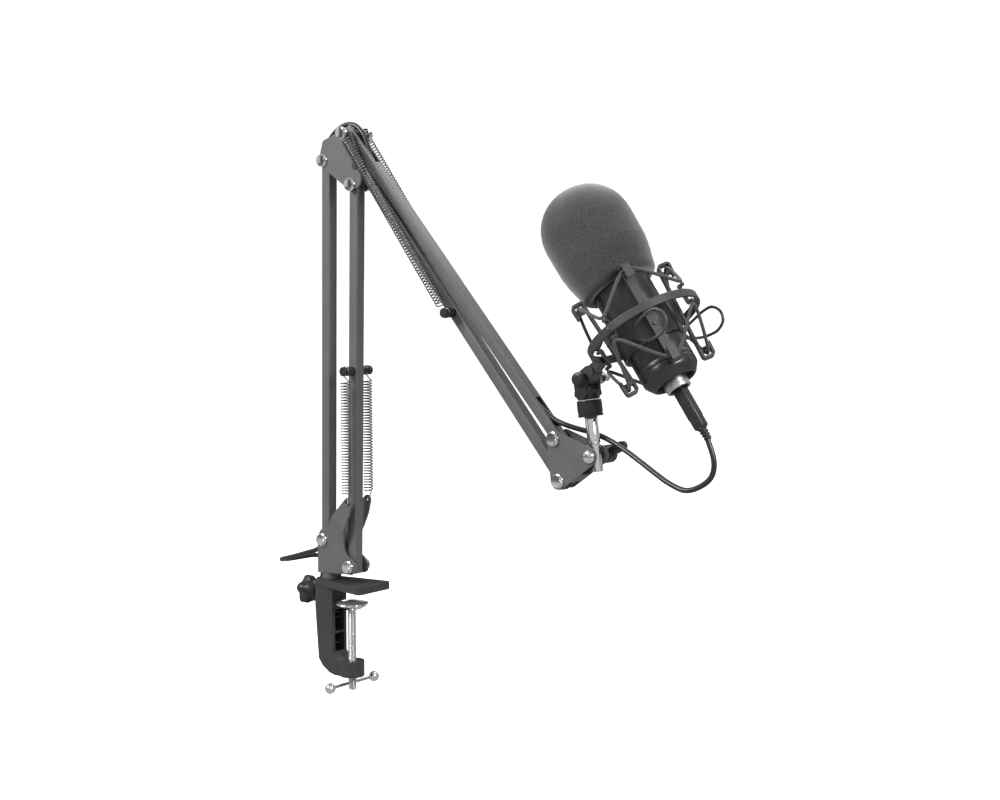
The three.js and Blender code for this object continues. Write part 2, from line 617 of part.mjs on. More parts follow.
add("outer_ring", outerRing(), satinBlack, mic);
HOOK_ANGLES.forEach((angle, i) => add(`ring_hook_${i + 1}`, ringHook(angle), satinBlack, mic));
FRAME_ANGLES.forEach((angle, i) => add(`cage_frame_${i + 1}`, cageFrame(angle), satinBlack, mic));
add("cage_jaw_near", cageJaw(-1), satinBlack, mic);
add("cage_jaw_far", cageJaw(1), satinBlack, mic);
add("elastic_upper", elasticBand(1), elastic, mic);
add("elastic_lower", elasticBand(-1), elastic, mic);

// ---- microphone ------------------------------------------------------------------------------

const BODY_LOW = -38;
const BODY_TOP = 60;
const BELL_END = -52;
const SOCKET_END = -58.5;
const FOAM_LOW = 37.5;
const FOAM_TOP = 128.5;

function micBody() {
  return turned([[21.8, BODY_LOW], [BODY_R, BODY_LOW], [BODY_R, BODY_TOP], [21.8, BODY_TOP]], 32);
}

function endBell() {
  return turned([[10.6, BELL_END + 2], [16.4, BELL_END], [20.5, BELL_END + 3], [BODY_R - 0.6, BELL_END + 9.5],
    [BODY_R, BODY_LOW - 2], [BODY_R - 1, BODY_LOW - GAP], [20, BODY_LOW - GAP], [18, BELL_END + 8],
    [10.6, BELL_END + 7]], 28);
}

function micGrille() {
  const dome = (r, top) => {
    const points = [[0, BODY_TOP + GAP], [r, BODY_TOP + GAP], [r, 92]];
    for (let i = 1; i < 6; i++) {
      const a = (i / 6) * (Math.PI / 2);
      points.push([r * Math.cos(a), 92 + (top - 92) * Math.sin(a)]);
    }
    return turned([...points, [0, top]], 24);
  };
  const core = dome(22, 103.8);
  return cut(dome(23.2, 105), core, core.clone().translate(0, 0, -5));
}

function micCapsule() {
  const drum = rod([0, -6.5, 84], [0, 6.5, 84], 16.5, 24);
  const saddle = box([-8, -3, 62.5], [8, 3, 72]);
  const deck = rod([0, 0, 61], [0, 0, 63], 20, 24);
  return join(drum, saddle, deck);
}

function usbSocket() {
  const shell = turned([[8.4, SOCKET_END], [10.2, SOCKET_END],
    [10.2, BODY_LOW + 1], [8.4, BODY_LOW + 1]], 24);
  const back = rod([0, 0, BODY_LOW - 6], [0, 0, BODY_LOW - 1], 9, 20);
  return join(shell, back);
}

function foamCover() {
  const outer = [[0, FOAM_LOW], [26.5, FOAM_LOW], [30.6, FOAM_LOW + 1.5], [32.7, FOAM_LOW + 4.5],
    [33.1, FOAM_LOW + 8], [35, FOAM_LOW + 17], [FOAM_R, FOAM_LOW + 30]];
  const middle = FOAM_TOP - 37;
  for (let i = 0; i < 6; i++) {
    const a = (i / 6) * (Math.PI / 2);
    outer.push([FOAM_R * Math.cos(a), middle + 37 * Math.sin(a)]);
  }
  const skin = turned([...outer, [0, FOAM_TOP]], 28);
  const hollow = [[0, FOAM_LOW - 1], [24.1, FOAM_LOW - 1], [24.1, 93]];
  for (let i = 1; i < 5; i++) {
    const a = (i / 5) * (Math.PI / 2);
    hollow.push([24.1 * Math.cos(a), 93 + 13.5 * Math.sin(a)]);
  }
  return cut(skin, turned([...hollow, [0, 106.5]], 24));
}

const PLUG_END = -94;
const RELIEF_END = -104.5;

// The plug stands in the socket and points straight down the microphone's axis.
function micPlug() {
  const nose = box([-4.2, -3.8, SOCKET_END - 1.4], [4.2, 3.8, BODY_LOW - 6 - GAP]);
  const grip = box([-5.2, -4.6, PLUG_END], [5.2, 4.6, SOCKET_END - 1]);
  const relief = rod([0, 0, RELIEF_END], [0, 0, PLUG_END + 0.2], 2.9, 12, 3.7);
  return join(nose, grip, relief);
}

add("mic_body", micBody(), satinBlack, mic);
add("end_bell", endBell(), satinBlack, mic);
add("mic_grille", micGrille(), steelMesh, mic);
add("mic_capsule", micCapsule(), gold, mic);
add("usb_socket", usbSocket(), zinc, mic);
add("mic_plug", micPlug(), plastic, mic);
add("foam_cover", foamCover(), foam, mic);

// ---- the lead: microphone, down the arm, out behind the base and into a tied coil ---------------

const inUpperTube = (at, off) => alongLink(ELBOW_TOP, HEAD_UPPER, at, off);
const inLowerTube = (at, off) => alongLink(BASE_REAR, ELBOW_REAR, at, off);
const inPlane = (points) => points.map(([x, z]) => [x, 0, z]);

// The loop hangs from the plug, passes behind the stud and drops into the upper arm.
const LOOP_ROUTE = [
  [382.1, 0, 162.8], [386.6, 0, 151], [387.4, 0, 143], [385, 0, 135.4], [377.3, 0, 128.4],
  [361.9, 0.6, 122.9],
  [344.6, 2.2, 127.3], [332, 3.6, 133.3], [319.3, 5.2, 139.8], [301, 7.6, 148.8], [282.5, 8.8, 156.8],
  [268, 7.6, 161.4], [255, 3.4, 164.6], [245.5, 0.8, 167.2],
  ...inPlane([inUpperTube(337, 7.1), inUpperTube(328, 4), inUpperTube(318, 1.6), inUpperTube(308, 0.4)]),
];
const ELBOW_ROUTE = inPlane([
  inUpperTube(50, 0), inUpperTube(40, 0.4), inUpperTube(31, 2), inUpperTube(20.6, 5.6), [19, 415.4],
  [11.6, 422.4], [2.4, 425.2], [-7, 423.8], [-17.4, 418], [-25.6, 409.4],
  inLowerTube(356, 5.6), inLowerTube(344, 5), inLowerTube(330, 3.4), inLowerTube(316, 1.4),
  inLowerTube(300, 0),
]);
const TAIL_ROUTE = [
  ...inPlane([inLowerTube(52, 0), inLowerTube(38, 1.2), inLowerTube(24, 3.6), inLowerTube(10, 5.6),
    inLowerTube(-2, 6.8)]),
  [-39.4, 0, 35], [-47, 0, 30.6], [-60, 0, 26.4], [-74, 0, 22], [-87.2, 0.6, 18.3], [-98, 4.8, 15.4],
  [-105.6, 14, 13], [-107.2, 26, 11.8], [-103, 38, 12.6], [-95.4, 47.6, 13.6], [-87.6, 55, 10.6],
  [-82.6, 58.4, 2],
  [-80.9, 59.1, -10.6],
];

const COIL_CENTRE = new THREE.Vector3(-63, 41, -34);
const COIL_FACE = new THREE.Vector3(1, 1, 0).normalize(); // the axis of the coil
const COIL_ALONG = new THREE.Vector3(-1, 1, 0).normalize(); // level, in the plane of its turns
const COIL_R = 25; // middle of the turns
const COIL_HALF = 6.9; // half the bundle's width
const PLUG_ALONG = 11; // the plug hangs on the coil's flank
const PLUG_FACE = -11.6;
const PLUG_TOP = 23; // end of its strain relief, above the coil's middle

function byCoil(along, face, up) {
  return COIL_CENTRE.clone().addScaledVector(COIL_ALONG, along).addScaledVector(COIL_FACE, face)
    .add(new THREE.Vector3(0, 0, up)).toArray();
}

function endRoute() {
  const arcR = (COIL_R + PLUG_ALONG) / 2;
  const arc = [0, 1, 2, 3, 4].map((i) => {
    const turn = (i / 4) * Math.PI;
    return byCoil(-COIL_R + arcR * (1 - Math.cos(turn)), (PLUG_FACE * i) / 4, 30 + arcR * Math.sin(turn));
  });
  return [byCoil(-COIL_R, 0, 23.4), ...arc, byCoil(PLUG_ALONG, PLUG_FACE, PLUG_TOP)];
}

function coilRing() {
  const [r, h, corner] = [COIL_R, COIL_HALF, 3];
  const ring = turned([[r - h, corner - h], [r - h + corner, -h], [r + h - corner, -h], [r + h, corner - h],
    [r + h, h - corner], [r + h - corner, h], [r - h + corner, h], [r - h, h - corner]], 24);
  return ring.rotateX(Math.PI / 2).rotateZ(THREE.MathUtils.degToRad(135)).translate(...COIL_CENTRE);
}

// The computer end of the lead: strain relief, grip and open metal shell, pointing down.
function usbPlug() {
  const relief = rod([0, 0, -GAP], [0, 0, -9], 2.9, 12, 3.6);
  const grip = box([-8, -4.2, -38], [8, 4.2, -8.8]);
  const shell = box([-6, -2.25, -52], [6, 2.25, -37.8]);
  const mouth = box([-5.4, -1.65, -53], [5.4, 1.65, -40]);
  const plug = cut(join(relief, grip, shell), mouth);
  return plug.rotateZ(THREE.MathUtils.degToRad(135)).translate(...byCoil(PLUG_ALONG, PLUG_FACE, PLUG_TOP));
}

// A stretch of the lead, held back a little from what it meets at each end.
function leadStretch(name, route, steps) {
  const held = 0.45;
  const pull = (end, next) => {
    const from = new THREE.Vector3(...end);
    const step = new THREE.Vector3(...next).sub(from).setLength(held);
    return from.add(step).toArray();
  };
  const points = [pull(route[0], route[1]), ...route.slice(1, -1), pull(route.at(-1), route.at(-2))];
  add(name, wire(points, CORD_R, steps, 8), lead);
}

leadStretch("cord_loop", LOOP_ROUTE, 26);
leadStretch("cord_upper_arm", [LOOP_ROUTE.at(-1), ELBOW_ROUTE[0]], 2);
leadStretch("cord_elbow", ELBOW_ROUTE, 16);
leadStretch("cord_lower_arm", [ELBOW_ROUTE.at(-1), TAIL_ROUTE[0]], 2);
leadStretch("cord_tail", TAIL_ROUTE, 24);
leadStretch("cord_end", endRoute(), 9);
add("cord_coil", coilRing(), lead);
add("usb_plug", usbPlug(), plastic);

export default group;
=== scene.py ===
# %% [markdown]
# # A condenser microphone on a spring-balanced desk arm
# The engineering model gives every part its place and its joints. This lesson dresses it: each
# cell makes one real piece in mesh code, sets it down where the engineering model says, and lets
# it ride on the body that moves it. Lengths are written in millimetres and turned into metres once.

import json
import math

import bmesh
import bpy
from mathutils import Matrix, Vector, noise
from mathutils.geometry import convex_hull_2d

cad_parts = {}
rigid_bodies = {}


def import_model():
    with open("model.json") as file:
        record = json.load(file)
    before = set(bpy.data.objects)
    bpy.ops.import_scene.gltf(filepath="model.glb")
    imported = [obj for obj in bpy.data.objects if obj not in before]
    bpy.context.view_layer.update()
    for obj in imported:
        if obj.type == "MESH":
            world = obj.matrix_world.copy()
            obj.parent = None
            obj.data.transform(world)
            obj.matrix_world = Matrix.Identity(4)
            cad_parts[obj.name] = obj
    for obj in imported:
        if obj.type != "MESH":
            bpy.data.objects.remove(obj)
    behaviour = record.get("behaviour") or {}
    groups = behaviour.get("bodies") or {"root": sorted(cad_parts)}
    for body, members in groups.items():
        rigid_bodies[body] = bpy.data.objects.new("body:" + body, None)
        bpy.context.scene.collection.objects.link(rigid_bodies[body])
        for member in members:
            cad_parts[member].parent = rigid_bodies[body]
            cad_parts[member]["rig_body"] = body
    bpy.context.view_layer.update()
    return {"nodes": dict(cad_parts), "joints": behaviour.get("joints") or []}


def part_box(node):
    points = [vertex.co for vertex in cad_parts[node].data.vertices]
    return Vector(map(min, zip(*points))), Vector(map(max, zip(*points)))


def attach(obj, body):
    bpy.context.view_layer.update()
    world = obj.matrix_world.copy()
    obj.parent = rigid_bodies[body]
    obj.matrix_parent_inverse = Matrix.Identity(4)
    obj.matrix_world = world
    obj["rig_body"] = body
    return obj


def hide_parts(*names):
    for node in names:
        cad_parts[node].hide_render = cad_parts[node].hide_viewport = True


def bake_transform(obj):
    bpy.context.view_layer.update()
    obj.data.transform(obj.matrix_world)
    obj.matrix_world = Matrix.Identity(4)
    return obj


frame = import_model()
MM = 0.001
scene = bpy.context.scene

# %% [markdown]
# The pivots are read from the joints, so a dressed part can never sit beside its own axle. Two
# pivots of the parallel linkage are left open in the joint list, and their bolts say where they are.

# %% Find the pivots
pivot = {j["name"]: Vector(j["pos_m"]) / MM for j in frame["joints"] if j.get("pos_m")}


def middle(node):
    low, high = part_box(node)
    return (low + high) / 2 / MM


BASE_REAR, BASE_FRONT = pivot["lower_arm"], pivot["lower_arm_front"]
ELBOW_REAR, ELBOW_TOP, ELBOW_LOW = (pivot[j] for j in ("elbow_follow", "upper_arm", "upper_arm_bottom"))
HEAD_UPPER, HEAD_TILT, YOKE = (pivot[j] for j in ("head_follow", "stud_tilt", "ring_tilt"))
ELBOW_FRONT, HEAD_LOWER = middle("elbow_bolt_front"), middle("head_bolt_lower")
for place in (ELBOW_FRONT, HEAD_LOWER):
    place.y = 0
RING = sum((middle(f"ring_hook_{i}") for i in (1, 2, 3, 4)), Vector()) / 4
RING.y = 0
TILT = math.radians(35.4)  # how far the microphone leans back over the arm
LEAN = math.radians(8.8)  # how far the stud leans
print("ring centre", [round(v, 1) for v in RING], "tilt bolt", [round(v, 1) for v in HEAD_TILT])

# %% [markdown]
# The view is three-quarter, from a little above level, with a fairly long lens so that the two tubes of
# each arm stay nearly parallel. It is set first because the cords are checked against it.

# %% Camera
turn, rise = 0.677087, 0.082672  # radians round the object and above it
LOOK_AT = Vector((0.1764, 0, 0.1842))
DISTANCE = 1.3578
back = Vector((math.sin(turn) * math.cos(rise), -math.cos(turn) * math.cos(rise), math.sin(rise)))
camera = bpy.data.objects.new("camera", bpy.data.cameras.new("camera"))
scene.collection.objects.link(camera)
camera.data.lens, camera.data.sensor_width = 57.6, 36
camera.location = LOOK_AT + back * DISTANCE
camera.rotation_euler = back.to_track_quat("Z", "Y").to_euler()
scene.camera = camera
print("camera", [round(v, 3) for v in camera.location])

# %% [markdown]
# ## Tools of this workshop
# A finish is one Principled shader with two sizes of noise: a broad one that shifts the colour a
# little, as real coatings do, and a fine one that gives the surface its grain through bump and
# roughness. Coordinates are the object's own, so the grain stays put when the arm moves.

# %% Finishes
FINISHES = {}


def finish(name, colour, rough, metal=0.0, grain=1400, bump=0.12, patch=0.12, stretch=(1, 1, 1),
           sheen=0.0, fine_share=0.5, slot=None):
    material = bpy.data.materials.new(name + "_finish")
    material["slot"] = slot or name
    material.use_nodes = True
    tree = material.node_tree
    shader = tree.nodes["Principled BSDF"]
    shader.inputs["Metallic"].default_value = metal
    shader.inputs["Sheen Weight"].default_value = sheen
    shader.inputs["Sheen Roughness"].default_value = 0.5

    def node(kind, **sets):
        made = tree.nodes.new(kind)
        for key, value in sets.items():
            if hasattr(made, key):
                setattr(made, key, value)
            else:
                made.inputs[key].default_value = value
        return made

    where = node("ShaderNodeTexCoord")
    scaled = node("ShaderNodeMapping", Scale=stretch)
    tree.links.new(where.outputs["Object"], scaled.inputs["Vector"])
    broad = node("ShaderNodeTexNoise", Scale=55, Detail=4, Roughness=0.6)
    fine = node("ShaderNodeTexNoise", Scale=grain, Detail=3, Roughness=0.55)
    for made in (broad, fine):
        tree.links.new(scaled.outputs["Vector"], made.inputs["Vector"])
    shade = node("ShaderNodeValToRGB")
    low = [c * (1 - patch) for c in colour]
    high = [min(1, c * (1 + patch)) for c in colour]
    shade.color_ramp.elements[0].color = (*low, 1)
    shade.color_ramp.elements[0].position = 0.32
    shade.color_ramp.elements[1].color = (*high, 1)
    shade.color_ramp.elements[1].position = 0.68
    both = node("ShaderNodeMix", data_type="FLOAT")
    both.inputs["Factor"].default_value = fine_share
    tree.links.new(broad.outputs["Fac"], both.inputs["A"])
    tree.links.new(fine.outputs["Fac"], both.inputs["B"])
    tree.links.new(both.outputs["Result"], shade.inputs["Fac"])
    tree.links.new(shade.outputs["Color"], shader.inputs["Base Color"])
    polish = node("ShaderNodeMapRange")
    polish.inputs["To Min"].default_value = rough * 0.82
    polish.inputs["To Max"].default_value = min(1, rough * 1.18)
    tree.links.new(both.outputs["Result"], polish.inputs["Value"])
    tree.links.new(polish.outputs["Result"], shader.inputs["Roughness"])
    relief = node("ShaderNodeBump", Strength=bump, Distance=0.0002)
    tree.links.new(fine.outputs["Fac"], relief.inputs["Height"])
    tree.links.new(relief.outputs["Normal"], shader.inputs["Normal"])
    FINISHES[name] = material
    return material


powder = finish("powder_coat", (0.104, 0.098, 0.099), 0.42, grain=1900, bump=0.2)
cast = finish("cast_black", (0.032, 0.031, 0.032), 0.42, grain=900, bump=0.22)
chrome = finish("chrome", (0.8, 0.8, 0.82), 0.08, metal=1, grain=400, bump=0.02, patch=0.03)
zinc = finish("zinc", (0.6, 0.6, 0.61), 0.34, metal=1, grain=900, bump=0.08, patch=0.08)
spring_steel = finish("spring_steel", (0.17, 0.17, 0.173), 0.36, metal=1, grain=1200, bump=0.05)
plastic = finish("plastic", (0.016, 0.016, 0.017), 0.36, grain=2600, bump=0.1)
satin = finish("satin_black", (0.022, 0.022, 0.023), 0.3, grain=3000, bump=0.06)
painted = finish("painted_steel", (0.04, 0.04, 0.041), 0.38, grain=2200, bump=0.14, slot="satin_black")
rubber = finish("elastic", (0.042, 0.042, 0.044), 0.75, grain=2400, bump=0.6, sheen=0.3)
mesh_steel = finish("steel_mesh", (0.14, 0.14, 0.15), 0.4, metal=1, grain=2000, bump=0.15)
gold = finish("gold", (0.86, 0.6, 0.25), 0.28, metal=1, grain=800, bump=0.04)
foam = finish("foam", (0.019, 0.019, 0.02), 0.95, grain=700, bump=1.0, patch=1.0, sheen=0.55, fine_share=0.92)
jacket = finish("lead_jacket", (0.016, 0.016, 0.017), 0.33, grain=1600, bump=0.08)
print(", ".join(FINISHES))

# %% [markdown]
# Shapes are made in a bench of their own, then stood in place. `stand` gives a bench whose z runs
# along a chosen direction; `settle` turns a finished shape into an object on its body. Hard parts
# get a small bevel, because no machined or cast edge is perfectly sharp and the bevel catches light.

# %% Benches and settling
def stand(at, up=(0, 0, 1), side=(0, 1, 0)):
    z = Vector(up).normalized()
    x = Vector(side).cross(z).normalized()
    y = z.cross(x)
    return Matrix.Translation(Vector(at)) @ Matrix((x, y, z)).transposed().to_4x4()


WORLD = Matrix.Identity(4)


def across(at):
    return stand(at, (0, -1, 0), (0, 0, 1))  # z comes out of the near side of the arm


def settle(made, name, body, material, nodes=(), edge=0.0, angle=38, blend=None, segments=2):
    mesh = bpy.data.meshes.new(name)
    bmesh.ops.remove_doubles(made, verts=made.verts, dist=0.002)
    bmesh.ops.recalc_face_normals(made, faces=made.faces)
    made.transform(Matrix.Scale(MM, 4))
    made.to_mesh(mesh)
    made.free()
    mesh.polygons.foreach_set("use_smooth", [True] * len(mesh.polygons))
    mesh.set_sharp_from_angle(angle=math.radians(angle))
    mesh.materials.append(material)
    thing = bpy.data.objects.new(name, mesh)
    scene.collection.objects.link(thing)
    if edge:
        soften = thing.modifiers.new("edge", "BEVEL")
        soften.width, soften.segments, soften.limit_method = edge * MM, segments, "ANGLE"
        soften.angle_limit, soften.harden_normals = math.radians(32), True
    if blend:
        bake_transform(thing)
    else:
        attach(thing, body)
    if nodes:
        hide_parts(*nodes)
    return thing


print("benches ready")

# %% [markdown]
# Four ways to make a solid cover nearly everything here: turning a profile on a lathe, cutting a
# flat outline to a thickness, sweeping a round section along a line, and taking a flat-sided
# casting from the engineering model and rounding its edges.

# %% Turned parts
def turned(made, profile, place=WORLD, steps=64, radius=None, part=None):
    """profile rows are (radius, height) or (radius, height, sides of a polygon)."""
    count = steps + 1 if part else steps
    rings = []
    for row in profile:
        r, z, sides = (*row, 0)[:3]
        ring = []
        for i in range(1 if r == 0 else count):
            angle = part[0] + (part[1] - part[0]) * i / steps if part else 2 * math.pi * i / steps
            out = r
            if sides:
                wedge = math.pi / sides
                out = r * math.cos(wedge) / math.cos(angle % (2 * wedge) - wedge)
            if radius:
                out = radius(angle, z, out)
            ring.append(made.verts.new(place @ Vector((out * math.cos(angle), out * math.sin(angle), z))))
        rings.append(ring)
    for low, high in zip(rings, rings[1:]):
        if len(low) == 1 and len(high) == 1:
            continue
        for i in range(steps):
            k = i + 1 if part else (i + 1) % steps
            if len(low) == 1:
                made.faces.new((low[0], high[k], high[i]))
            elif len(high) == 1:
                made.faces.new((low[i], low[k], high[0]))
            else:
                made.faces.new((low[i], low[k], high[k], high[i]))
    if part:  # close the two cut ends of a part turn
        for i in (0, -1):
            made.faces.new([ring[i] for ring in rings[:-1]])


def closed(profile):
    return [*profile, profile[0]]


def lathe(name, body, material, profile, place=WORLD, steps=64, radius=None, part=None, **how):
    """One turned piece, made and settled."""
    made = bmesh.new()
    turned(made, profile, place, steps, radius, part)
    return settle(made, name, body, material, **how)


print("lathe ready")

# %% Flat parts
def around(points, steps=14):
    """The rounded outline that a band would take round circles (x, z, radius)."""
    spots = []
    for x, z, *r in points:
        r = r[0] if r else 0
        spots += [(x + r * math.cos(a), z + r * math.sin(a))
                  for a in (2 * math.pi * i / steps for i in range(steps))] if r else [(x, z)]
    return [Vector(spots[i]) for i in convex_hull_2d([Vector(p) for p in spots])]


def plate(made, outline, low, high, place=WORLD):
    """An outline in the bench's x and z, with its thickness along y."""
    ends = []
    for y in (low, high):
        ends.append([made.verts.new(place @ Vector((x, y, z))) for x, z in outline])
    made.faces.new(ends[0])
    made.faces.new(ends[1][::-1])
    for i in range(len(outline)):
        k = (i + 1) % len(outline)
        made.faces.new((ends[0][i], ends[0][k], ends[1][k], ends[1][i]))


def block(made, low, high, place=WORLD):
    plate(made, [(low[0], low[2]), (high[0], low[2]), (high[0], high[2]), (low[0], high[2])],
          low[1], high[1], place)


print("plate shop ready")

# %% Lines and sweeps
def smooth_line(knots, steps=6, loop=False):
    """A smooth curve through every knot, with no overshoot where the knots are uneven."""
    knots = [Vector(k) for k in knots]
    if loop:
        knots = [knots[-1], *knots, knots[0], knots[1]]
    else:
        knots = [2 * knots[0] - knots[1], *knots, 2 * knots[-1] - knots[-2]]
    line = []
    for a, b, c, d in zip(knots, knots[1:], knots[2:], knots[3:]):
        p, q, r = (max((v - u).length, 1e-6) ** 0.5 for u, v in ((a, b), (b, c), (c, d)))
        leave = ((b - a) / p - (c - a) / (p + q) + (c - b) / q) * q
        arrive = ((c - b) / q - (d - b) / (q + r) + (d - c) / r) * q
        for i in range(steps):
            t = i / steps
            line.append(b + leave * t + (3 * (c - b) - 2 * leave - arrive) * t * t
                        + (2 * (b - c) + leave + arrive) * t ** 3)
    return line if loop else [*line, knots[-2]]


def swept(made, line, radius, sides=12, loop=False, place=WORLD, swell=None):
    """A round section along a line, carried without twist from one point to the next."""
    count = len(line)
    side = None
    rings = []
    for i, point in enumerate(line):
        ahead = line[(i + 1) % count] if loop or i + 1 < count else point
        behind = line[i - 1] if loop or i else point
        way = (ahead - behind).normalized()
        if side is None:
            side = way.orthogonal().normalized()
        side = (side - way * side.dot(way)).normalized()
        other = way.cross(side)
        r = radius * (swell(i) if swell else 1)
        rings.append([made.verts.new(place @ (point + (side * math.cos(a) + other * math.sin(a)) * r))
                      for a in (2 * math.pi * k / sides for k in range(sides))])
    turns = count if loop else count - 1
    shift = 0
    if loop:  # the section comes round turned by some angle; join each corner to its nearest one
        shift = min(range(sides), key=lambda s: (rings[-1][0].co - rings[0][s].co).length)
    for i in range(turns):
        a, b = rings[i], rings[(i + 1) % count]
        s = shift if loop and i == count - 1 else 0
        for k in range(sides):
            made.faces.new((a[k], a[(k + 1) % sides], b[(k + 1 + s) % sides], b[(k + s) % sides]))
    if not loop:
        made.faces.new(rings[0][::-1])
        made.faces.new(rings[-1])


def line_length(line):
    return sum((b - a).length for a, b in zip(line, line[1:]))


print("sweeps ready")

# %% Castings with rounded edges
def softened(node, material, edge, name=None, segments=2, angle=16):
    """A flat-sided part taken over from the engineering model, its facets merged and its edges eased."""
    made = bmesh.new()
    made.from_mesh(frame["nodes"][node].data)
    made.transform(Matrix.Scale(1 / MM, 4))
    bmesh.ops.remove_doubles(made, verts=made.verts, dist=0.01)
    bmesh.ops.dissolve_limit(made, angle_limit=math.radians(2), verts=made.verts, edges=made.edges)
    body = frame["nodes"][node]["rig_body"]
    return settle(made, name or node + "_dressed", body, material, [node], edge, angle, segments=segments)


print("castings ready")

# %% [markdown]
# ## The lead
# The lead is one piece of round PVC cable: out of the plug, in a loose loop behind the stud, down
# inside the upper arm, round the outside of the elbow, down inside the lower arm, out behind the
# base, and into a tied coil that hangs beside the clamp with its computer plug. It passes many
# joints, and a soft piece could bend across one joint only, so it is cut into stretches that meet
# end to end. A stretch that spans two bodies is set in place here and attached to neither.

# %% The lead's route
CORD = 4.5


def along_link(start, end, at, off=0):
    way = (end - start).normalized()
    return start + way * at + Vector((-way.z, 0, way.x)) * off


def in_upper(at, off=0):
    return along_link(ELBOW_TOP, HEAD_UPPER, at, off)


def in_lower(at, off=0):
    return along_link(BASE_REAR, ELBOW_REAR, at, off)


loop_route = [Vector(p) for p in (
    (382.1, 0, 162.8), (386.6, 0, 151), (387.4, 0, 143), (385, 0, 135.4), (377.3, 0, 128.4),
    (361.9, 0.6, 122.9), (344.6, 2.2, 127.3), (332, 3.6, 133.3), (319.3, 5.2, 139.8),
    (301, 7.6, 148.8), (282.5, 8.8, 156.8), (268, 7.6, 161.4), (255, 3.4, 164.6),
    (245.5, 0.8, 167.2))]
loop_route += [in_upper(337, 7.1), in_upper(328, 4), in_upper(318, 1.6), in_upper(308, 0.4)]
elbow_route = [in_upper(50), in_upper(40, 0.4), in_upper(31, 2), in_upper(20.6, 5.6)]
elbow_route += [Vector((x, 0, z)) for x, z in (
    (19, 415.4), (11.6, 422.4), (2.4, 425.2), (-7, 423.8), (-17.4, 418), (-25.6, 409.4))]
elbow_route += [in_lower(356, 5.6), in_lower(344, 5), in_lower(330, 3.4), in_lower(316, 1.4), in_lower(300)]
tail_route = [in_lower(52), in_lower(38, 1.2), in_lower(24, 3.6), in_lower(10, 5.6), in_lower(-2, 6.8)]
tail_route += [Vector(p) for p in (
    (-39.4, 0, 35), (-47, 0, 30.6), (-60, 0, 26.4), (-74, 0, 22), (-87.2, 0.6, 18.3),
    (-98, 4.8, 15.4), (-105.6, 14, 13), (-107.2, 26, 11.8), (-103, 38, 12.6),
    (-95.4, 47.6, 13.6), (-87.6, 55, 10.6), (-82.6, 58.4, 2), (-80.9, 59.1, -10.6))]
print(len(loop_route) + len(elbow_route) + len(tail_route), "knots")

# %% [markdown]
# The spare length is wound by hand in nine lanes, three by three, each turn sliding
# into the next lane, so the bundle has the slightly crossed look of a hand-wound coil. The order of
# the lanes starts and ends on the outside, where the two ends leave.

# %% The coil and the end of the lead
COIL = Vector((-63, 41, -34))
FACE = Vector((1, 1, 0)).normalized()
ALONG = Vector((-1, 1, 0)).normalized()
UP = Vector((0, 0, 1))
COIL_R = 25  # middle of the turns
LANE = 4.62  # from one turn to the next
TURNS, PER_TURN = 8.5, 26
PLUG_AT = (11, -11.6, 23)  # end of the computer plug's strain relief


def by_coil(along, face, up):
    return COIL + ALONG * along + FACE * face + UP * up


lanes = [(1, 0), (1, 1), (0, 1), (-1, 1), (-1, 0), (0, 0), (-1, -1), (0, -1), (1, -1)]
coil_line = []
for i in range(int(TURNS * PER_TURN) + 1):
    t = i / PER_TURN
    lane, share = min(int(t), 8), t - int(t)
    ahead = lanes[min(lane + 1, 8)]
    ease = max(0, (share - 0.55) / 0.45)
    ease = ease * ease * (3 - 2 * ease)
    out, face = (lanes[lane][k] + (ahead[k] - lanes[lane][k]) * ease for k in (0, 1))
    wander = 0.25 * math.sin(2.3 * t * 2 * math.pi + lane)
    r = COIL_R + out * LANE + wander
    angle = 2 * math.pi * t
    coil_line.append(by_coil(r * math.cos(angle), face * LANE, -r * math.sin(angle)))
end_knots = [by_coil(-27, -LANE, 16)]
for i in range(5):
    angle = math.pi * i / 4
    along = -COIL_R + 18 * (1 - math.cos(angle))
    end_knots.append(by_coil(along, -LANE - 1.75 * i, 30 + 18 * math.sin(angle)))
end_knots.append(by_coil(*PLUG_AT))
tail_line = smooth_line(tail_route)
end_line = smooth_line([coil_line[-1], *end_knots])
print("coil", round(line_length(coil_line)), "mm")

# %% [markdown]
# Both plugs are moulded: a rounded grip with a shallow panel, and a ribbed strain relief that lets
# the cable bend without breaking. A lofted shape, one rounded rectangle after another along the
# plug, gives the soft corners of a moulding directly.

# %% Plug at the microphone
MIC = stand(RING, (-math.sin(TILT), 0, math.cos(TILT)))


def lofted(made, rows, place=WORLD, corner=6):
    """rows are (half width x, half depth y, corner radius, height)."""
    rings = []
    for hx, hy, r, z in rows:
        ring = []
        for k, (sx, sy) in enumerate(((1, 1), (-1, 1), (-1, -1), (1, -1))):
            for i in range(corner + 1):
                a = math.pi / 2 * (k + i / corner)
                ring.append(made.verts.new(place @ Vector((
                    sx * (hx - r) + r * math.cos(a), sy * (hy - r) + r * math.sin(a), z))))
        rings.append(ring)
    for low, high in zip(rings, rings[1:]):
        for i in range(len(low)):
            k = (i + 1) % len(low)
            made.faces.new((low[i], low[k], high[k], high[i]))
    made.faces.new(rings[0][::-1])
    made.faces.new(rings[-1])


def relief(made, place, start, end, ribs, thick, thin):
    """A ribbed strain relief: full rings with necks between them."""
    step = (end - start) / (ribs * 2)
    profile = [(0, start), (thick, start)]
    for i in range(ribs):
        z = start + step * (2 * i + 1)
        r = thick + (thin - thick) * (i + 1) / ribs
        profile += [(r + 0.45, z - step * 0.55), (r + 0.45, z + step * 0.1), (r - 0.35, z + step * 0.35),
                    (r - 0.35, z + step * 0.9)]
    turned(made, [*profile, (thin, end), (0, end)], place, 28)


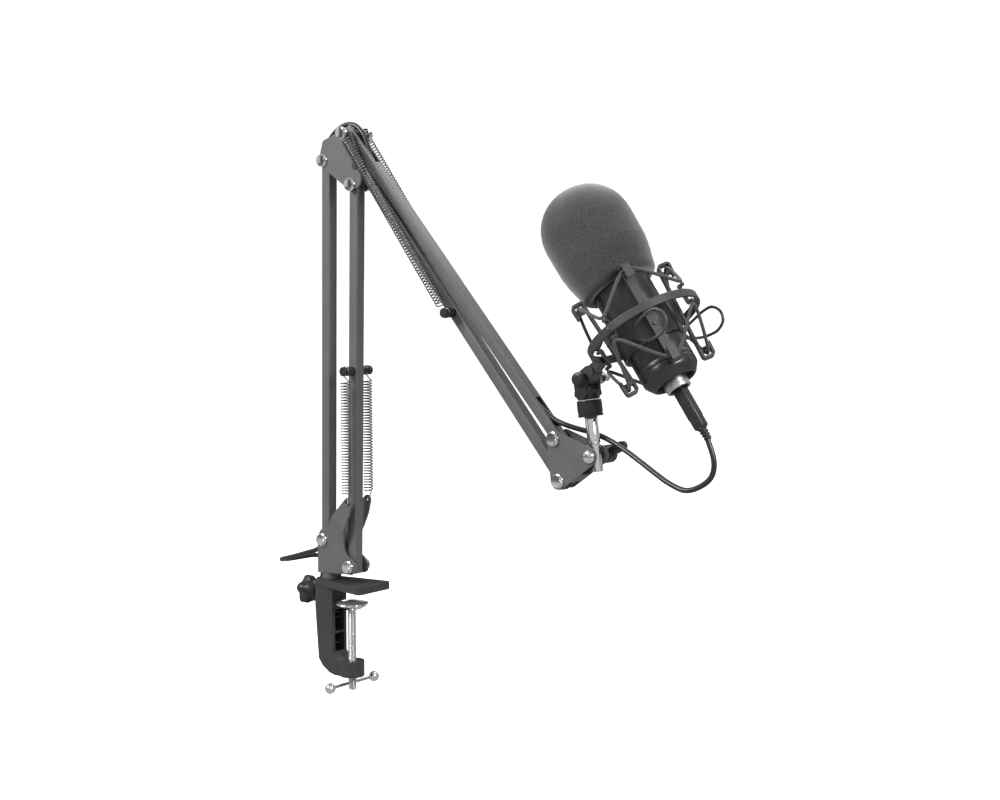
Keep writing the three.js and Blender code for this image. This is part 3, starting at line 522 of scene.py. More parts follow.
PLUG_IN, PLUG_OUT = -44.6, -104.5  # along the microphone's axis
made = bmesh.new()
lofted(made, [(4.2, 3.8, 1, PLUG_IN), (4.2, 3.8, 1, -60)], MIC)
lofted(made, [(4.3, 3.7, 1.6, -59.3), (5.1, 4.5, 1.8, -60.2), (5.2, 4.6, 1.8, -61.4), (5.2, 4.6, 1.8, -84),
              (4.9, 4.3, 1.7, -85), (4.9, 4.3, 1.7, -92.6), (4.1, 3.6, 1.6, -94)], MIC)
for y in (-4.72, 4.72):
    panel = [(3.6, 0.14, 0.13, -64.5), (3.9, 0.22, 0.2, -65.2), (3.9, 0.22, 0.2, -81),
             (3.6, 0.14, 0.13, -81.6)]
    lofted(made, panel, MIC @ Matrix.Translation((0, y * 0.985, 0)))
    for x in (-1.3, 1.3):
        turned(made, [(0.5, -0.1), (0.5, 0.16), (0.3, 0.26), (0, 0.26)],
               MIC @ stand((x, y * 0.93, -88.8), (0, y, 0), (0, 0, 1)), 16)
relief(made, MIC, -93.6, PLUG_OUT, 4, 3.5, 2.7)
mic_plug = settle(made, "mic_plug_moulded", "cage", plastic, ["mic_plug"])
print("plug length", round(PLUG_IN - PLUG_OUT), "mm")

# %% Plug for the computer
TOP = stand(by_coil(*PLUG_AT), UP, FACE)
made = bmesh.new()
relief(made, TOP, -9.2, -0.3, 4, 3.5, 2.7)
lofted(made, [(6.6, 3, 1.4, -8.8), (7.8, 4.0, 1.8, -10.2), (8, 4.2, 1.8, -12), (8, 4.2, 1.8, -35.6),
              (7.7, 3.9, 1.7, -37.2), (7.2, 3.5, 1.6, -38)], TOP)
for side in (-1, 1):
    for k in range(7):
        z = -18 - 1.9 * k
        rib = [(4.6, 0.3, 0.25, z), (4.6, 0.3, 0.25, z - 0.8)]
        lofted(made, rib, TOP @ Matrix.Translation((0, side * 4.2, 0)))
usb_grip = settle(made, "usb_plug_grip", "clamp", plastic, ["usb_plug"])
made = bmesh.new()
rim = [(6, 2.25, 0.5, -37.6), (6, 2.25, 0.5, -51.7), (5.85, 2.1, 0.4, -52), (5.4, 1.65, 0.3, -51.9),
       (5.4, 1.65, 0.3, -40)]
lofted(made, rim, TOP)
for side in (-1, 1):
    for x in (-2.6, 2.6):
        block(made, (x - 1, side * 2.2, -46), (x + 1, side * 2.33, -44), TOP)
usb_shell = settle(made, "usb_plug_shell", "clamp", zinc)
made = bmesh.new()
block(made, (-5.2, 0.2, -51.2), (5.2, 1.5, -40.2), TOP)
usb_tongue = settle(made, "usb_plug_tongue", "clamp", plastic, edge=0.15)
print("computer plug made")

# %% Lay the lead in stretches
def cut_line(line, lengths):
    """Cuts a line where its running length passes each of the given lengths."""
    parts, part, run = [], [line[0]], 0
    marks = list(lengths)
    for a, b in zip(line, line[1:]):
        run += (b - a).length
        part.append(b)
        if marks and run >= marks[0]:
            parts.append(part)
            part = [b]
            marks.pop(0)
    return [*parts, part]


lead_total = 0


def lay(name, line, bodies, node=None, bend=None):
    global lead_total
    made = bmesh.new()
    swept(made, line, CORD / 2, sides=14)
    blend = None
    if len(bodies) == 2:
        a, b = bend or (line[0], line[-1])
        blend = (*bodies, a * MM, b * MM)
    thing = settle(made, name, bodies[0], jacket, [node] if node else [], angle=60, blend=blend)
    line_length(line) * MM
    [p * MM for p in line]
    lead_total += line_length(line)
    return thing


loop_line = smooth_line([MIC @ Vector((0, 0, -101)), *loop_route])
parts = cut_line(loop_line, (40, 80, 118, 152))
steps = [("cage", "ring"), ("ring", "socket"), ("socket", "mount_stud"), ("mount_stud", "head"),
         ("head", "upper_top_link")]
for i, (part, bodies) in enumerate(zip(parts, steps)):
    bend = (part[0], in_upper(337, 7.1)) if i == 4 else None
    lay(f"lead_loop_{i + 1}", part, bodies, "cord_loop" if i == 0 else None, bend=bend)
lay("lead_in_upper_arm", [in_upper(308, 0.4), in_upper(180), in_upper(50)], ["upper_top_link"],
    "cord_upper_arm")
elbow_line = smooth_line(elbow_route)
apex = max(range(len(elbow_line)), key=lambda i: elbow_line[i].z)
lay("lead_elbow_front", elbow_line[:apex + 1], ("upper_top_link", "elbow"), "cord_elbow")
lay("lead_elbow_rear", elbow_line[apex:], ("elbow", "lower_rear_link"))
lay("lead_in_lower_arm", [in_lower(300), in_lower(170), in_lower(52)], ["lower_rear_link"],
    "cord_lower_arm")
tail = cut_line(tail_line, (78, 150))
lay("lead_tail_in_tube", tail[0], ("lower_rear_link", "turret"), "cord_tail",
    bend=(in_lower(10, 5.6), tail[0][-1]))
lay("lead_tail_behind_base", tail[1], ("turret", "clamp"))
print("lead so far", round(lead_total), "mm")

# %% [markdown]
# The coil and its tail end are one stretch that belongs to the clamp, with a wrapped tie round the
# bundle so that it stays wound.

# %% Lay the coil and tie it
rest = lay("lead_coil", [*tail[2], *coil_line[1:], *end_line[1:]], ["clamp"], "cord_coil")
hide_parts("cord_end")
made = bmesh.new()
HALF = 7.35  # half the width of the bundle inside the tie
ROUND = 0.55  # how far round the coil the tie sits, in radians
centre = by_coil(-COIL_R * math.cos(ROUND), 0, -COIL_R * math.sin(ROUND))
TIE = stand(centre, -ALONG * math.sin(ROUND) + UP * math.cos(ROUND), FACE)
rings = [(HALF, HALF, 3, -5), (HALF + 0.9, HALF + 0.9, 3.4, -4.6), (HALF + 0.9, HALF + 0.9, 3.4, 4.6),
         (HALF, HALF, 3, 5), (HALF - 0.2, HALF - 0.2, 3, 4.4), (HALF - 0.2, HALF - 0.2, 3, -4.4)]
lofted(made, rings, TIE)
settle(made, "coil_tie", "clamp", rubber)
print("lead in all", round(lead_total), "mm")

# %% [markdown]
# ## Clamp
# The clamp is a painted casting: a flat jaw on the desk, a ribbed spine, and a boss for the screw.
# Its channels come with the engineering model, so it is taken over and its edges are eased as a
# casting's are.

# %% Clamp casting
softened("clamp_frame", cast, 0.8, segments=3)
made = bmesh.new()
for z in (-53.5, -29.5, -25):
    block(made, (-30.4, -6, z - 0.5), (-19.5, 6, z + 0.5))
settle(made, "clamp_ribs", "clamp", cast, edge=0.3)
print("clamp cast")

# %% [markdown]
# The knob behind the jaw locks the turret. It is a five-lobed moulding with a dished, ribbed face:
# a turned part whose radius swells five times on the way round.

# %% Lock knob
KNOB = stand((0, 0, -8), (-1, 0, 0))
NECK_END, KNOB_R, LOBE = 48.8, 12, 1.8


def lobes(angle, z, r):
    depth = min(max((z - NECK_END) / 3, 0), 1) * min(r / KNOB_R, 1) ** 4
    return r + LOBE * math.cos(5 * angle) * depth


made = bmesh.new()
turned(made, [(0, 44), (5.6, 44.1), (6.2, 44.7), (8, 47.4), (9.9, 49.7), (11.5, 50.6), (12, 51.6),
              (12, 58.9), (11.6, 59.8), (10.7, 60.3), (9.6, 60.3), (9.1, 59.8), (8.9, 57.9), (3.6, 57.7),
              (3.2, 58.7), (2.6, 59.1), (0, 59.2)], KNOB, 100, radius=lobes)
for i in range(15):
    angle = 2 * math.pi * i / 15
    spoke = KNOB @ Matrix.Rotation(angle, 4, "Z")
    block(made, (3.3, -0.35, 57.5), (9.2, 0.35, 59.2), spoke)
settle(made, "lock_knob_moulded", "lock_knob", plastic, ["lock_knob"], angle=50)
lathe("lock_knob_stud", "lock_knob", zinc,
      [(0, 19.6), (2.5, 19.6), (3, 20.1), (3, 44.6), (0, 44.6)], KNOB, 32,
      radius=lambda a, z, r: r - (0.28 * abs(((z / 1.25 + a / math.tau) % 1) - 0.5) if r == 3 else 0))
print("lock knob made")

# %% [markdown]
# The screw is a real helical thread: the radius rises and falls once per pitch and once per turn.
# The dished cup on its tip is spun steel with a dark pad inside, and the sliding bar has turned balls.

# %% Screw, cup and sliding bar
RIM = -13.5  # height of the cup's rim
BAR_Z, BAR_R, BAR_HALF, BALL_R = -88.8, 1.6, 29, 5


def thread(pitch, depth):
    def radius(angle, z, r):
        return r - depth * 2 * abs(((z / pitch - angle / math.tau) % 1) - 0.5)
    return radius


made = bmesh.new()
top, low, pitch = -20.2, -95.3, 1.25
rows = [(0, low), (3.2, low), (3.7, low + 0.6)]
rows += [(4.0, low + 0.8 + i * pitch / 4) for i in range(int((top - low - 1.6) / (pitch / 4)))]
turned(made, [*rows, (3.4, top - 0.3), (3.1, top), (0, top)], WORLD, 32,
       radius=lambda a, z, r: thread(pitch, 0.62)(a, z, r) if r == 4.0 else r)
settle(made, "clamp_screw_threaded", "clamp_screw", zinc, ["clamp_screw"], angle=60)

lathe("pressure_cup_spun", "pressure_cup", chrome,
      [(0, RIM - 6.4), (4.9, RIM - 6.4), (5.3, RIM - 6.2), (8.5, RIM - 5.6), (12.8, RIM - 3.4),
       (15.1, RIM - 1.2), (15.45, RIM - 0.5), (15.2, RIM), (14.6, RIM - 0.3), (12.4, RIM - 1.8),
       (0, RIM - 2.9)], WORLD, 72, nodes=["pressure_cup"], angle=50)
lathe("pressure_cup_pad", "pressure_cup", rubber,
      [(0, RIM - 2.9), (11.8, RIM - 1.9), (13, RIM - 1.3), (12.8, RIM - 1.1), (8, RIM - 1.9),
       (0, RIM - 2.2)], WORLD, 72)

made = bmesh.new()
ball = [(BALL_R * math.sin(a), -BAR_HALF - BALL_R * math.cos(a))
        for a in (math.pi * i / 14 for i in range(13))]
profile = ball + [(BAR_R, -24.2), (BAR_R, 24.2)] + [(r, -z) for r, z in ball[::-1]]
turned(made, profile, stand((0, 0, BAR_Z), (0, 1, 0), (0, 0, 1)), 40)
settle(made, "tommy_bar_turned", "tommy_bar", chrome, ["tommy_bar"], angle=30)
print("screw, cup and bar made")

# %% [markdown]
# ## Bolts
# Six pivots and the upper springs' long bolt use the same hexagon flange bolt with a nut on the far
# side. One function makes it: a flange with a sloped top, a chamfered hexagon, the shank, the nut,
# and nylon spacers between the plates. The eighth pivot is a plain riveted pin.

# %% Hexagon flange bolts
def flange_bolt(name, at, body, node, reach=9.7, spacers=True):
    place = across(at)
    made = bmesh.new()
    turned(made, [(0, reach), (5.7, reach), (6.05, reach + 0.3), (5.9, reach + 0.6), (5.2, reach + 1),
                  (0, reach + 1)], place, 48)
    turned(made, [(5.2, reach + 0.9, 6), (5.2, reach + 2.5, 6), (4.75, reach + 3, 0), (3.4, reach + 3.1),
                  (0, reach + 3.3)], place, 48)
    turned(made, [(0, -reach - 6.2), (2.5, -reach - 6.2), (2.9, -reach - 5.7), (2.9, reach), (0, reach)],
           place, 24,
           radius=lambda a, z, r: r - (0.3 * (0.5 + 0.5 * math.sin(z * 7)) if z < -reach - 5 else 0))
    turned(made, [(0, -reach), (5.6, -reach), (5.6, -reach - 1.1), (5.3, -reach - 1.4), (0, -reach - 1.4)],
           place, 48)
    turned(made, [(4.9, -reach - 1.3, 6), (5.2, -reach - 1.8, 6), (5.2, -reach - 4.9, 6),
                  (4.8, -reach - 5.4, 0), (2.6, -reach - 5.4)], place, 48)
    settle(made, name, body, chrome, [node], angle=28)
    if spacers:
        made = bmesh.new()
        for s in (-1, 1):
            turned(made, [(3.0, s * 5.2), (4.8, s * 5.2), (4.8, s * 7.55), (3.0, s * 7.55), (3.0, s * 5.2)],
                   place, 32)
        settle(made, name + "_spacers", body, plastic)


for name, at, body in (
        ("base_bolt_rear", BASE_REAR, "turret"), ("base_bolt_front", BASE_FRONT, "turret"),
        ("elbow_bolt_rear", ELBOW_REAR, "elbow"), ("elbow_bolt_front", ELBOW_FRONT, "elbow"),
        ("head_bolt_upper", HEAD_UPPER, "head"), ("head_bolt_lower", HEAD_LOWER, "head")):
    flange_bolt(name + "_turned", at, body, name)
flange_bolt("elbow_spring_bolt_turned", ELBOW_TOP, "elbow", "elbow_spring_bolt", reach=15.4, spacers=False)
made = bmesh.new()
for s in (-1, 1):
    turned(made, [(2.9, 0), (2.9, s * 9.4), (4.1, s * 9.45), (3.8, s * 10), (0, s * 10.3)],
           across(ELBOW_LOW), 32)
settle(made, "elbow_pivot_pin_riveted", "elbow", cast, ["elbow_pivot_pin"])
print("bolts made")

# %% [markdown]
# ## Brackets and tubes
# The brackets are pressed steel plate with a powder coat, taken over with eased edges. The arms are
# square tubes, open where the lead goes in and out, so each tube is built as an outer and an inner
# skin of long strips, and the strip of the open face is left out along the window.

# %% Brackets
for pressed in ("base_bracket", "elbow_plate_near", "elbow_plate_far", "head_bracket"):
    softened(pressed, powder, 0.35)
print("brackets eased")

# %% Arm tubes
TUBE_END = 6  # a tube runs on past its pivots by this much
LINK = 350  # from pivot to pivot


def tube(name, start, end, node, body, windows=()):
    way = (end - start).normalized()
    face = Vector((-way.z, 0, way.x))  # the side that the windows are cut in
    place = Matrix.Translation(start) @ Matrix((way, face.cross(way), face)).transposed().to_4x4()
    half, wall = 5.15, 1.2
    skins = []
    for h, r in ((half, 1.3), (half - wall, 0.5)):
        loop = [(3, h)]
        for k in range(4):
            for i in range(5):
                a = math.pi / 2 * (1 - k - i / 4)
                cx, cz = ((1, 1), (1, -1), (-1, -1), (-1, 1))[k]
                loop.append((cx * (h - r) + r * math.cos(a), cz * (h - r) + r * math.sin(a)))
        loop.append((-3, h))
        skins.append(loop)
    cuts = sorted({-TUBE_END, LINK + TUBE_END, *(x for w in windows for x in w)})
    made = bmesh.new()
    grid = [[[made.verts.new(place @ Vector((x, y, z))) for y, z in skin] for x in cuts] for skin in skins]
    count = len(skins[0])
    last = count - 1

    def open_here(i):
        return 0 <= i < len(cuts) - 1 and any(a <= cuts[i] and cuts[i + 1] <= b for a, b in windows)

    for i in range(len(cuts) - 1):
        for k in range(count):
            j = (k + 1) % count
            if k == last and open_here(i):
                for edge in (0, last):
                    made.faces.new((grid[0][i][edge], grid[0][i + 1][edge],
                                    grid[1][i + 1][edge], grid[1][i][edge]))
                continue
            for skin in grid:
                made.faces.new((skin[i][k], skin[i][j], skin[i + 1][j], skin[i + 1][k]))
    for i in range(len(cuts)):
        for k in range(count):
            j = (k + 1) % count
            if k < last and i not in (0, len(cuts) - 1):
                continue
            here, before = open_here(i), open_here(i - 1)
            if k == last and i in (0, len(cuts) - 1) and (here or before):
                continue
            if k == last and here == before and i not in (0, len(cuts) - 1):
                continue
            made.faces.new((grid[0][i][k], grid[0][i][j], grid[1][i][j], grid[1][i][k]))
    return settle(made, name, body, powder, [node], angle=30)


tube("lower_rear_tube_drawn", BASE_REAR, ELBOW_REAR, "lower_rear_tube", "lower_rear_link",
     [(-TUBE_END, 40), (306, LINK + TUBE_END)])
tube("lower_front_tube_drawn", BASE_FRONT, ELBOW_FRONT, "lower_front_tube", "lower_front_link")
tube("upper_top_tube_drawn", ELBOW_TOP, HEAD_UPPER, "upper_top_tube", "upper_top_link",
     [(-TUBE_END, 40), (310, 341)])
tube("upper_bottom_tube_drawn", ELBOW_LOW, HEAD_LOWER, "upper_bottom_tube", "upper_bottom_link")
print("four tubes drawn")

# %% [markdown]
# ## Springs
# Two pairs of steel extension springs balance the arm. Each is one wire: a hook, evenly spaced
# turns, and another hook. It is swept as one line and set in place between the two bodies it pulls
# together, attached to neither, so it is not blended between them and stays put when the arm moves.

# %% Extension springs
WIRE_R, SPRING_R, SPRING_Y = 0.56, 4.05, 14.5


def spring(name, start, end, y, bodies, pitch, node, hooks):
    start, end = Vector((start.x, y, start.z)), Vector((end.x, y, end.z))
    way = (end - start).normalized()
    side = Vector((0, 1, 0))
    third = way.cross(side)
    length = (end - start).length
    low, high = hooks[0] + 5, length - hooks[1] - 5
    line = []
    for i in range(13):  # the hook at the start
        a = math.pi * (0.25 + 1.6 * i / 12)
        line.append(start + way * (hooks[0] * math.cos(a)) + third * hooks[0] * math.sin(a))
    turns = round((high - low) / pitch)
    for i in range(turns * 14 + 1):
        a = math.tau * i / 14
        along = low + (high - low) * i / (turns * 14)
        line.append(start + way * along + (side * math.cos(a) + third * math.sin(a)) * SPRING_R)
    for i in range(13):  # the hook at the end
        a = math.pi * (0.15 + 1.6 * i / 12)
        line.append(end + way * (-hooks[1] * math.cos(a)) + third * hooks[1] * math.sin(a))
    made = bmesh.new()
    swept(made, line, WIRE_R, sides=8)
    settle(made, name, bodies[0], spring_steel, [node], angle=60, blend=(*bodies, start * MM, end * MM))


LOWER_PIN, UPPER_PIN = middle("lower_spring_pin"), middle("upper_spring_pin")
EAR = Vector((8.6, 0, 82.4))
for label, y in (("near", -SPRING_Y), ("far", SPRING_Y)):
    spring(f"lower_spring_{label}_wire", EAR, LOWER_PIN, y, ("turret", "lower_front_link"), 2.6,
           f"lower_spring_{label}", hooks=(2.4, 4.2))
    spring(f"upper_spring_{label}_wire", ELBOW_TOP, UPPER_PIN, y, ("elbow", "upper_bottom_link"), 2.95,
           f"upper_spring_{label}", hooks=(3.6, 4.2))
for label, at, body in (("lower", LOWER_PIN, "lower_front_link"), ("upper", UPPER_PIN, "upper_bottom_link")):
    made = bmesh.new()
    half = [(4.2, 5.3), (4.2, 13), (3.5, 13.4), (3.4, 15.8), (4.3, 16.3), (4.3, 17.6), (3.6, 18.2),
            (0, 18.2)]
    profile = [(r, -z) for r, z in half[::-1]] + half
    turned(made, profile, across(at), 36)
    settle(made, f"{label}_spring_pin_turned", body, plastic, [f"{label}_spring_pin"], angle=40)
print("springs wound")

# %% [markdown]
# ## Tilt stud, wing knob, collar and yoke
# The stud is a plated turned bar. The wing knob clamps it in the head bracket; its through bolt
# shows a domed cap on the near side. The knurled collar holds the yoke of the shock mount.

# %% Stud and wing knob
STUD = stand(HEAD_TILT, (-math.sin(LEAN), 0, math.cos(LEAN)))
lathe("mount_stud_turned", "mount_stud", chrome,
      [(0, -13.2), (4.2, -13.2), (4.9, -12.5), (4.9, 8.8), (4.45, 9.3), (4.45, 10.1), (5.3, 10.6),
       (5.3, 36.9), (4.6, 38), (0, 38)], STUD, 72, nodes=["mount_stud"])
softened("wing_knob", plastic, 0.9, segments=3)
lathe("tilt_bolt_cap", "wing_knob", chrome,
      [(5.7, 9.6), (5.75, 10.1), (5.2, 11.4), (4.2, 12.4), (2.6, 13.1), (0, 13.4)],
      across(HEAD_TILT), 48)
print("stud made")

# %% Collar and yoke
def knurl(a, z, r):
    return r - (0.18 * (math.sin(a * 36) > 0.2) if r == 10.3 and 35 < z < 44 else 0)


lathe("socket_collar_moulded", "socket", plastic,
      closed([(5.7, 32), (9.8, 32), (10.3, 32.6), (10.3, 34), (9.9, 34.3), (9.9, 34.9), (10.3, 35.2),
              (10.3, 43.6), (9.9, 43.9), (9.9, 44.3), (10.3, 44.6), (10.2, 45.2), (9.7, 45.6),
              (5.7, 45.6)]), STUD, 144, radius=knurl, nodes=["socket_collar"], angle=45)
softened("yoke", plastic, 0.7, segments=3)
lathe("yoke_boss", "socket", plastic,
      [(5.9, 10.9), (6.1, 11.2), (6.0, 12), (5.4, 12.4), (0, 12.4)], across(YOKE), 48)
softened("thumb_screw", zinc, 0.6, segments=3)
lathe("thumb_screw_cap", "thumb_screw", plastic,
      [(0, 11.2), (5.1, 11.2), (5.3, 11.6), (5.3, 13.8), (4.8, 14.3), (3.2, 14.5), (0, 14.5)],
      across(YOKE), 48, angle=45)
lathe("thumb_screw_knurl", "thumb_screw", zinc,
      [(2.6, 11.6), (5.3, 11.6), (5.6, 12), (5.6, 19.2), (5.2, 19.8), (3, 20), (0, 20)],
      stand(YOKE, (0, 1, 0), (0, 0, 1)), 96,
      radius=lambda a, z, r: r - (0.25 * (math.sin(a * 24) > 0) if r > 5.4 else 0), angle=45)
print("yoke made")

# %% [markdown]
# ## Shock mount
# An outer ring carries four hooks, and an inner cage of four bent frames grips the microphone. Two
# loops of elastic cord zigzag between them, so the cage floats.

# %% Outer ring
def rivets(name, body, profile, spots):
    """Domed rivet heads at spots (degrees, radius, height) round the microphone's axis."""
    made = bmesh.new()
    for degrees, r, z in spots:
        a = math.radians(degrees)
        out = Vector((math.cos(a), math.sin(a), 0))
        turned(made, profile, MIC @ stand(out * r + Vector((0, 0, z)), out, (0, 0, 1)), 24)
    settle(made, name, body, painted)


made = bmesh.new()
turned(made, closed([(46.4, -3.1), (46.7, -3.4), (48.5, -3.4), (48.9, -3), (48.9, 3), (48.5, 3.4),
                     (46.7, 3.4), (46.4, 3.1)]), MIC, 160)
lug = MIC.inverted() @ YOKE
plate(made, around([(lug.x, lug.z, 6.4), (lug.x + 8, lug.z + 1.5, 5.2)], 28), -6.7, 6.7, MIC)
plate(made, around([(lug.x + 6, lug.z + 1.5, 4.4), (-50.9, 0, 3.3)], 28), -5, 5, MIC)
settle(made, "outer_ring_rolled", "ring", painted, ["outer_ring"], edge=0.35)
rivets("ring_rivets", "ring", [(1.7, -0.1), (1.65, 0.35), (1.1, 0.8), (0, 0.95)],
       [(degrees, 48.8, 0) for degrees in (0, 90, 270)])
for i in (1, 2, 3, 4):
    softened(f"ring_hook_{i}", painted, 0.35)
print("ring made")

# %% Cage frames and their rivets
for i in (1, 2, 3, 4):
    softened(f"cage_frame_{i}", painted, 0.4)
rivets("cage_rivets", "cage", [(1.8, -0.1), (1.75, 0.4), (1.2, 0.9), (0, 1.05)],
       [(degrees, 32.75, z) for degrees in (45, 135, 225, 315) for z in (-10.5, -1.5)])
print("cage frames made")

# %% [markdown]
# Each jaw is a half shell with a rubber lining and a squeeze handle bent from one wire, so pinching
# the two handles opens the cage for the microphone.

# %% Cage jaws
for label, s in (("near", -1), ("far", 1)):
    made = bmesh.new()
    edge = math.asin(0.8 / 27)
    part = (edge, math.pi - edge) if s > 0 else (math.pi + edge, math.tau - edge)
    turned(made, closed([(24.5, -20), (27, -20), (27.4, -19.4), (27, -17.6), (27, 5.6), (27.9, 7.4),
                         (27.6, 8), (24.5, 8)]), MIC, 48, part=part)
    for degrees in (45, 135):
        place = MIC @ Matrix.Rotation(math.radians(s * degrees), 4, "Z")
        block(made, (26.4, -2.6, -12), (30.2, 2.6, 6), place)
        block(made, (29.6, -2.9, -13.4), (30.6, 2.9, 7.4), place)
    settle(made, f"cage_jaw_{label}_pressed", "cage", satin, [f"cage_jaw_{label}"], edge=0.3)
    lathe(f"cage_jaw_{label}_lining", "cage", rubber,
          closed([(23.7, -19), (24.4, -19), (24.4, 7), (23.7, 7)]), MIC, 48, part=part)
    knots = [(-2, 25.4, -12), (3, 30.6, -11.4), (10, 36.6, -9.8), (20, 40.2, -7.8), (31, 41, -6.8),
             (39.6, 41, -8.6), (44, 41, -16), (41.5, 41, -23.4), (34, 41, -26.8), (27, 41, -26.2),
             (20, 38.6, -24.4), (14, 33.6, -21.2), (9.6, 29, -18), (7, 24.8, -15.6)]
    made = bmesh.new()
    swept(made, smooth_line([(x, s * y, z) for x, y, z in knots], 7), 1.2, sides=12, place=MIC)
    settle(made, f"squeeze_handle_{label}", "cage", painted)
print("jaws made")

# %% [markdown]
# The elastics are braided cord. They are swept as one closed loop each, with a slight regular swell
# for the braid, and set in place between ring and cage, attached to neither.

# %% Elastics
GAP, ELASTIC_R = 0.3, 1.3
SHELF = 36 + GAP + ELASTIC_R + 0.1  # height of the cord where it rests on a frame
ON_HOOK = 7.5 + 1.6 + GAP + ELASTIC_R + 0.3  # and where it passes over a hook
SPLAY = math.radians(3.3)  # how far a frame leans outwards
for label, s in (("upper", 1), ("lower", -1)):
    knots = []
    out = 36.4 + s * math.sin(SPLAY) * SHELF + 0.8
    for i in range(4):
        for degrees, r, sides, z in ((45 + 90 * i, out, (-4, 4), SHELF - s * 2.5),
                                     ((90 * (i + 1)) % 360, 47.9, (-1.6, 1.6), ON_HOOK)):
            a = math.radians(degrees)
            for side in sides:
                knots.append((r * math.cos(a) - side * math.sin(a),
                              r * math.sin(a) + side * math.cos(a), s * z))
    made = bmesh.new()
    line = smooth_line(knots, 14, loop=True)
    swept(made, line, 1.36, sides=14, loop=True, place=MIC, swell=lambda i: 1 + 0.045 * (i % 2))
    ends = (MIC @ Vector((0, 0, s * 11)) * MM, MIC @ Vector((0, 0, s * 35)) * MM)
    settle(made, f"elastic_{label}_braided", "ring", rubber, [f"elastic_{label}"], angle=70,
           blend=("ring", "cage", *ends))
print("elastics strung")

# %% [markdown]
# ## Microphone
# The body is a satin aluminium tube with a bell at the bottom that carries the socket, and a
# pressed wire grille over the capsule. All are turned parts with fine grooves at their joints.

# %% Body, bell and socket
lathe("mic_body_turned", "cage", satin,
      closed([(21.8, -38), (23.3, -38), (23.6, -37.7), (23.6, -34.4), (23.45, -34.2), (23.45, -33.9),
              (23.6, -33.7), (23.6, 59.6), (23.2, 60), (21.8, 60)]), MIC, 128, nodes=["mic_body"])
lathe("end_bell_turned", "cage", satin,
      closed([(10.6, -46.4), (15.4, -46.6), (16.2, -47.2), (16.5, -51.2), (17, -51.9), (17.8, -51.9),
              (18.6, -51.4), (21.2, -47.9), (22.7, -45.7), (23.3, -44.7), (23.6, -43.4), (23.6, -39),
              (23.3, -38.3), (20, -38.3), (18, -43), (10.6, -44)]), MIC, 128, nodes=["end_bell"])
made = bmesh.new()
turned(made, closed([(8.4, -58.2), (8.8, -58.5), (9.8, -58.5), (10.2, -58.1), (10.2, -55.6), (9.9, -55.4),
                     (9.9, -55), (10.2, -54.8), (10.2, -37), (8.4, -37)]), MIC, 96)
turned(made, [(0, -44), (8.9, -44), (8.9, -39), (0, -39)], MIC, 48)
settle(made, "usb_socket_turned", "cage", zinc, ["usb_socket"])
print("body made")

# %% [markdown]
# The grille is woven wire. A domed grid of thin strips is turned into wire by the Wireframe
# modifier, over a dark gauze that hides the inside, and the gold-edged capsule stands behind it.

# %% Grille and capsule
def crown(r, z, height, steps, order):
    """Rows (radius, height) of a quarter ellipse, at the steps of its quarter turn that order gives."""
    return [(r * math.cos(a), z + height * math.sin(a)) for a in (math.pi / 2 * i / steps for i in order)]


dome = [(23, 60.4), (23.1, 62)] + [(23.1, 62 + 3 * i) for i in range(1, 11)]
dome += crown(23.1, 92, 12.9, 8, range(1, 8))
made = bmesh.new()
turned(made, dome, MIC, 60)
grille = settle(made, "mic_grille_wire", "cage", mesh_steel, ["mic_grille"])
weave = grille.modifiers.new("weave", "WIREFRAME")
weave.thickness, weave.use_even_offset = 0.7 * MM, False
made = bmesh.new()
turned(made, [(22.4, 60.4), (22.4, 92), *crown(22.4, 92, 12.1, 8, range(1, 8)), (0, 104.2)], MIC, 60)
turned(made, closed([(22, 60.3), (23.2, 60.3), (23.3, 60.8), (23.3, 62.6), (23, 63), (22, 63)]), MIC, 96)
settle(made, "mic_grille_gauze", "cage", plastic)
CAPSULE = MIC @ stand((0, 0, 84), (0, -1, 0), (0, 0, 1))
made = bmesh.new()
turned(made, [(0, -6.2), (14, -6.2), (14.4, -6.5), (16.2, -6.5), (16.5, -6.2), (16.5, 6.2), (16.2, 6.5),
              (14.4, 6.5), (14, 6.2), (0, 6.2)], CAPSULE, 64)
block(made, (-8, -3, 62.5), (8, 3, 70), MIC)
turned(made, [(0, 61), (19.6, 61), (20, 61.4), (20, 62.6), (19.6, 63), (0, 63)], MIC, 64)
settle(made, "mic_capsule_turned", "cage", gold, ["mic_capsule"], angle=30)
print("grille made")

# %% [markdown]
# ## Foam cover
# The cover is a thick sleeve of open-cell foam. Its cells are far too small to model one by one, so
# the skin gets two sizes of noise in real displacement, the same on every run, and the finest size
# in its finish. Its lower rim is rolled and its top is a full dome.

# %% Foam cover
profile = [(24.2, 40), (24.4, 37.9), (25.2, 37.4), (26.8, 37.3), (29, 37.9), (30.8, 39.1), (32, 40.6),
           (32.8, 42.4), (33.4, 45.5), (34.4, 50), (35.6, 54.5), (36.8, 60.5), (37.8, 67.5)]
outline = [Vector(p) for p in profile]
profile = profile[:5]
STEP = 1.1  # height of one row of the skin
for a, b in zip(outline[4:], outline[5:]):
    count = max(1, round((b - a).length / STEP))
    profile += [tuple(a.lerp(b, (i + 1) / count)) for i in range(count)]
profile += [(37.8 + 0.025 * i, 67.5 + STEP * i) for i in range(1, 22)]
for i in range(60):  # the crown is a little squarer than an ellipse
    a = math.pi / 2 * i / 60
    profile.append((38.3 * math.cos(a) ** 0.9, 91.7 + 38.6 * math.sin(a) ** 0.94))
hollow = [(0, 106.5), *crown(24.1, 93, 13.5, 6, range(5, 0, -1)), (24.1, 93)]
made = bmesh.new()
turned(made, [*hollow, *profile, (0, 130.3)], MIC, 208)
